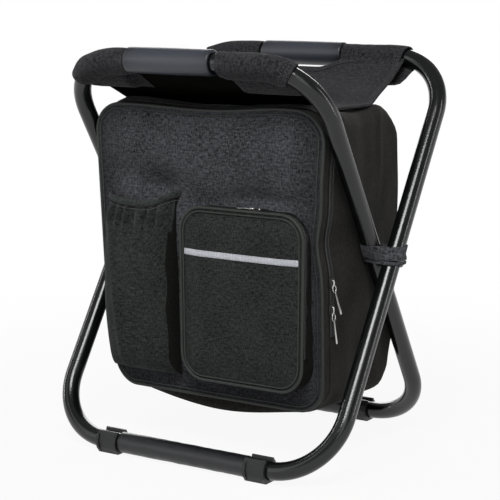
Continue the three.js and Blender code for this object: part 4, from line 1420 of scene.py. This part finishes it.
strapShape = {
    "offset": 0.062, "width": 0.046, "thick": 0.0048, "top": 0.317, "low": 0.153, "back": 0.0768,
    "stand": 0.022, "drops": (0, 0.2, 0.45, 0.72, 1), "stands": (0, 0.55, 1, 0.9, 0.6),
    "voxel": 0.0028, "pressure": 4, "cap": 0.006,
}
webbingShape = {"flat": (0.025, 0.058), "grid": (14, 40), "thick": 0.0015, "grows": 0}


def alongShares(value, shares, heights):
    for first, second, low, high in zip(shares, shares[1:], heights, heights[1:]):
        if value <= second:
            return low + (high - low) * ease(value, first, second)
    return heights[-1]


def inflated(obj, look):
    # a cloth simulation with air inside; a point moves at most as far as the cap
    mesh = obj.modifiers.new("voxels", "REMESH")
    mesh.mode, mesh.voxel_size = "VOXEL", look["voxel"]
    applied(obj)
    before = [vertex.co.copy() for vertex in obj.data.vertices]
    blown = obj.modifiers.new("blown", "CLOTH")
    blown.settings.use_pressure = True
    blown.settings.uniform_pressure_force = look["pressure"]
    blown.settings.effector_weights.gravity = 0
    for frameNumber in range(1, 21):
        bpy.context.scene.frame_set(frameNumber)
    shaped = obj.evaluated_get(bpy.context.evaluated_depsgraph_get()).to_mesh()
    after = [vertex.co.copy() for vertex in shaped.vertices]
    obj.modifiers.remove(blown)
    bpy.context.scene.frame_set(1)
    for vertex, old, new in zip(obj.data.vertices, before, after):
        move = new - old
        vertex.co = old + move * min(1, look["cap"] / max(move.length, 1e-9))
    softened(obj)


def shoulderPad(name, side, node):
    bpy.ops.mesh.primitive_grid_add(x_subdivisions=14, y_subdivisions=44, size=1)
    obj = named(name)
    for vertex in obj.data.vertices:
        across, along = vertex.co.x, 0.5 - vertex.co.y
        narrow = 1 - 0.12 * ease(along, 0.75, 1.0)
        x = side * strapShape["offset"] + across * strapShape["width"] * narrow
        z = strapShape["top"] - (strapShape["top"] - strapShape["low"]) * along
        bow = alongShares(along, strapShape["drops"], strapShape["stands"])
        y = strapShape["back"] + strapShape["stand"] * bow
        vertex.co = (x, y, z)
    editAll(thickened(obj, strapShape["thick"], 1), facedOut)
    inflated(obj, strapShape)
    dressed(smooth(obj), cloths["padCloth"], "gusset", "cooler_bag", node)


for side, word in ((-1, "left"), (1, "right")):
    shoulderPad(word + "Pad", side, "shoulder_pad_" + word)


def strapWebbing(name, node):
    low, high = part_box(node)

    def spot(across, along):
        z = high.z - (high.z - low.z) * along
        share = ease(along, 0, 1)
        y = (high.y - 0.0016) * (1 - share) + (low.y + 0.0004) * share
        x = low.x + (high.x - low.x) * across
        return x, y + 0.0003 * rumple(x, y, z, 0.012, 2), z

    obj = clothPiece(name, webbingShape, spot)
    return dressed(obj, cloths["webbing"], "strap", "cooler_bag", node)


webbings = [strapWebbing(word + "Webbing", "strap_webbing_" + word) for word in ("left", "right")]
print("straps sewn on")


# Zip sliders and pulls: modelled once along X, with Z outwards

sliderShape = {
    "length": 0.0098, "width": 0.0074, "thick": 0.0024, "nose": 0.0010, "tail": 0.34, "waist": 0.12,
    "edge": 0.0004, "arch": 0.0018, "archHalf": 0.0034, "wire": 0.0006,
}
pullShape = {
    "ring": 0.0078, "eye": 0.0074, "wire": 0.00055, "length": 0.0330, "neck": 0.0015, "end": 0.0027,
    "thick": 0.0010, "edge": 0.00025,
}


def edged(obj, width):  # rounds its sharp edges a little
    layer = obj.modifiers.new("edge", "BEVEL")
    layer.width, layer.segments, layer.limit_method = width, 2, "ANGLE"
    return applied(obj)


def joined(obj, other):
    alone(obj)
    other.select_set(True)
    bpy.ops.object.join()
    return obj


def sliderUnit(look):  # the slider, and how many of its last faces are its arch
    bpy.ops.mesh.primitive_cube_add(size=1, location=(0, 0, look["thick"] / 2))
    obj = named("slider")
    obj.scale = (look["length"], look["width"], look["thick"])
    applied(obj)
    editAll(obj, lambda: bpy.ops.mesh.subdivide(number_cuts=3))
    for vertex in obj.data.vertices:  # wide shoulders, a slim tail and a groove round its middle
        tail = ease(vertex.co.x, -0.001, 0.0045)
        vertex.co.y *= 1 - look["tail"] * tail
        if vertex.co.x < -0.004:
            vertex.co.x -= look["nose"] * (1 - (vertex.co.y / (look["width"] / 2)) ** 2)
        waist = hump(vertex.co.z, look["thick"] / 2, 0.0004)
        vertex.co.y *= 1 - look["waist"] * waist
    edged(obj, look["edge"])
    foot, turns = look["thick"] - 0.0004, [pi * n / 10 for n in range(11)]
    half, rise = look["archHalf"], look["arch"]
    bow = [(half * cos(turn) - 0.0004, 0, foot + rise * sin(turn) ** 0.6) for turn in turns]
    arch = cordAlong("arch", bow, look["wire"], sides=8)
    for vertex in arch.data.vertices:
        vertex.co.y *= 2.0
    faces = len(arch.data.polygons)
    return smooth(joined(obj, arch), 45), faces


def pullUnit(look):
    half = look["eye"] / 2
    loop = []
    for n in range(20):  # the eye that hangs in the slider's arch
        angle = tau * n / 20
        loop.append((look["ring"] / 2 - 0.0006 - look["ring"] / 2 * cos(angle), half * 0.8 * sin(angle), 0))
    obj = cordAlong("pull", loop, look["wire"], closed=True, sides=8)
    bpy.ops.mesh.primitive_cube_add(size=1, location=((look["ring"] + look["length"]) / 2 - 0.001, 0, 0))
    bar = named("bar")
    bar.scale = (look["length"] - look["ring"], look["neck"], look["thick"])
    applied(bar)
    editAll(bar, lambda: bpy.ops.mesh.subdivide(number_cuts=4))
    for vertex in bar.data.vertices:
        wide = ease(vertex.co.x, look["ring"], look["length"] * 0.9)
        vertex.co.y *= 1 + (look["end"] / look["neck"] - 1) * wide
        vertex.co.z *= 1 - 0.35 * hump(vertex.co.x, look["length"] * 0.55, 0.005)
    return smooth(joined(obj, edged(bar, look["edge"])), 45)


sliderPart, archFaces = sliderUnit(sliderShape)
pullPart = pullUnit(pullShape)


def placedCopy(unit, name, place, along, out, lift=0.0, short=1.0):
    # the copy's X goes along, its Z outwards; lift tips its far end away from the bag, short trims its bar
    obj = unit.copy()
    obj.data = unit.data.copy()
    for vertex in obj.data.vertices:
        vertex.co.x -= (1 - short) * max(vertex.co.x - pullShape["ring"], 0)
    obj.name = obj.data.name = name
    bpy.context.collection.objects.link(obj)
    along, out = Vector(along).normalized(), Vector(out).normalized()
    tipped = Matrix.Rotation(-lift, 4, "Y")
    turned = Matrix((along, out.cross(along), out)).transposed().to_4x4()
    obj.matrix_world = Matrix.Translation(place) @ turned @ tipped
    return applied(obj)


zipParts = {
    "mainUpper": {
        "slider": (0.1300, -0.0650, 0.1890), "pull": (0.1331, -0.0650, 0.1874), "along": (0, 0.36, -1),
        "out": (1, 0, 0), "lift": 0.09, "short": 1.0, "nodes": ("main_slider_upper", "main_pull_upper"),
        "bodies": ("upper_zip_slider", "upper_zip_pull"),
    },
    "mainLower": {
        "slider": (0.1300, -0.0644, 0.1625), "pull": (0.1331, -0.0644, 0.1592), "along": (0, 0.16, -1),
        "out": (1, 0, 0), "lift": 0.05, "short": 0.95, "nodes": ("main_slider_lower", "main_pull_lower"),
        "bodies": ("lower_zip_slider", "lower_zip_pull"),
    },
    "pocket": {
        "slider": (0.0600, -0.0884, 0.2558), "pull": (0.0572, -0.0884, 0.2588), "along": (-1, 0.05, 0),
        "out": (0, 0, 1), "lift": -0.05, "short": 0.5, "nodes": ("pocket_slider", "pocket_pull"),
        "bodies": ("pocket_zip_slider", "pocket_zip_pull"),
    },
}

for name, look in zipParts.items():
    straight = (0, 0, -1) if look["out"] == (1, 0, 0) else (-1, 0, 0)
    slider = placedCopy(sliderPart, name + "Slider", look["slider"], straight, look["out"])
    dressed(slider, sliderPaint, "slider", look["bodies"][0], look["nodes"][0])
    slider.data.materials.append(nickel)
    for polygon in slider.data.polygons[-archFaces:]:
        polygon.material_index = 1
    hang = (look["pull"], look["along"], look["out"], look["lift"], look["short"])
    pull = placedCopy(pullPart, name + "Pull", *hang)
    dressed(pull, nickel, "slider", look["bodies"][1], look["nodes"][1])
print("sliders and pulls hung")


# CAD nodes that keep their own shape

keptNodes = (
    (footPlastic, ("outer_foot_left", "outer_foot_right", "inner_foot_left", "inner_foot_right")),
    (bucklePlastic, ("strap_buckle_left", "strap_buckle_right")),
    (washerPlastic, ("pivot_spacer_left", "pivot_spacer_right")),
    (rivetSteel, ("pivot_rivet_left", "pivot_rivet_right")),
)
for material, nodes in keptNodes:
    for node in nodes:
        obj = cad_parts[node]
        obj.data.materials.clear()
        obj.data.materials.append(material)


# The size each sleeve's cloth was cut to, worked out but not used further

for name, look in sleeves.items():
    length = abs(look["end"] - look["start"])
    cut = (0.090 if "Left" in name else 0.098, length + 0.002)
    look["body"] + "_tube"
    under = sewnPieces[name.replace("Sleeve", "Under")]

for unit in (stitch, tooth, sliderPart, pullPart):
    bpy.data.objects.remove(unit)
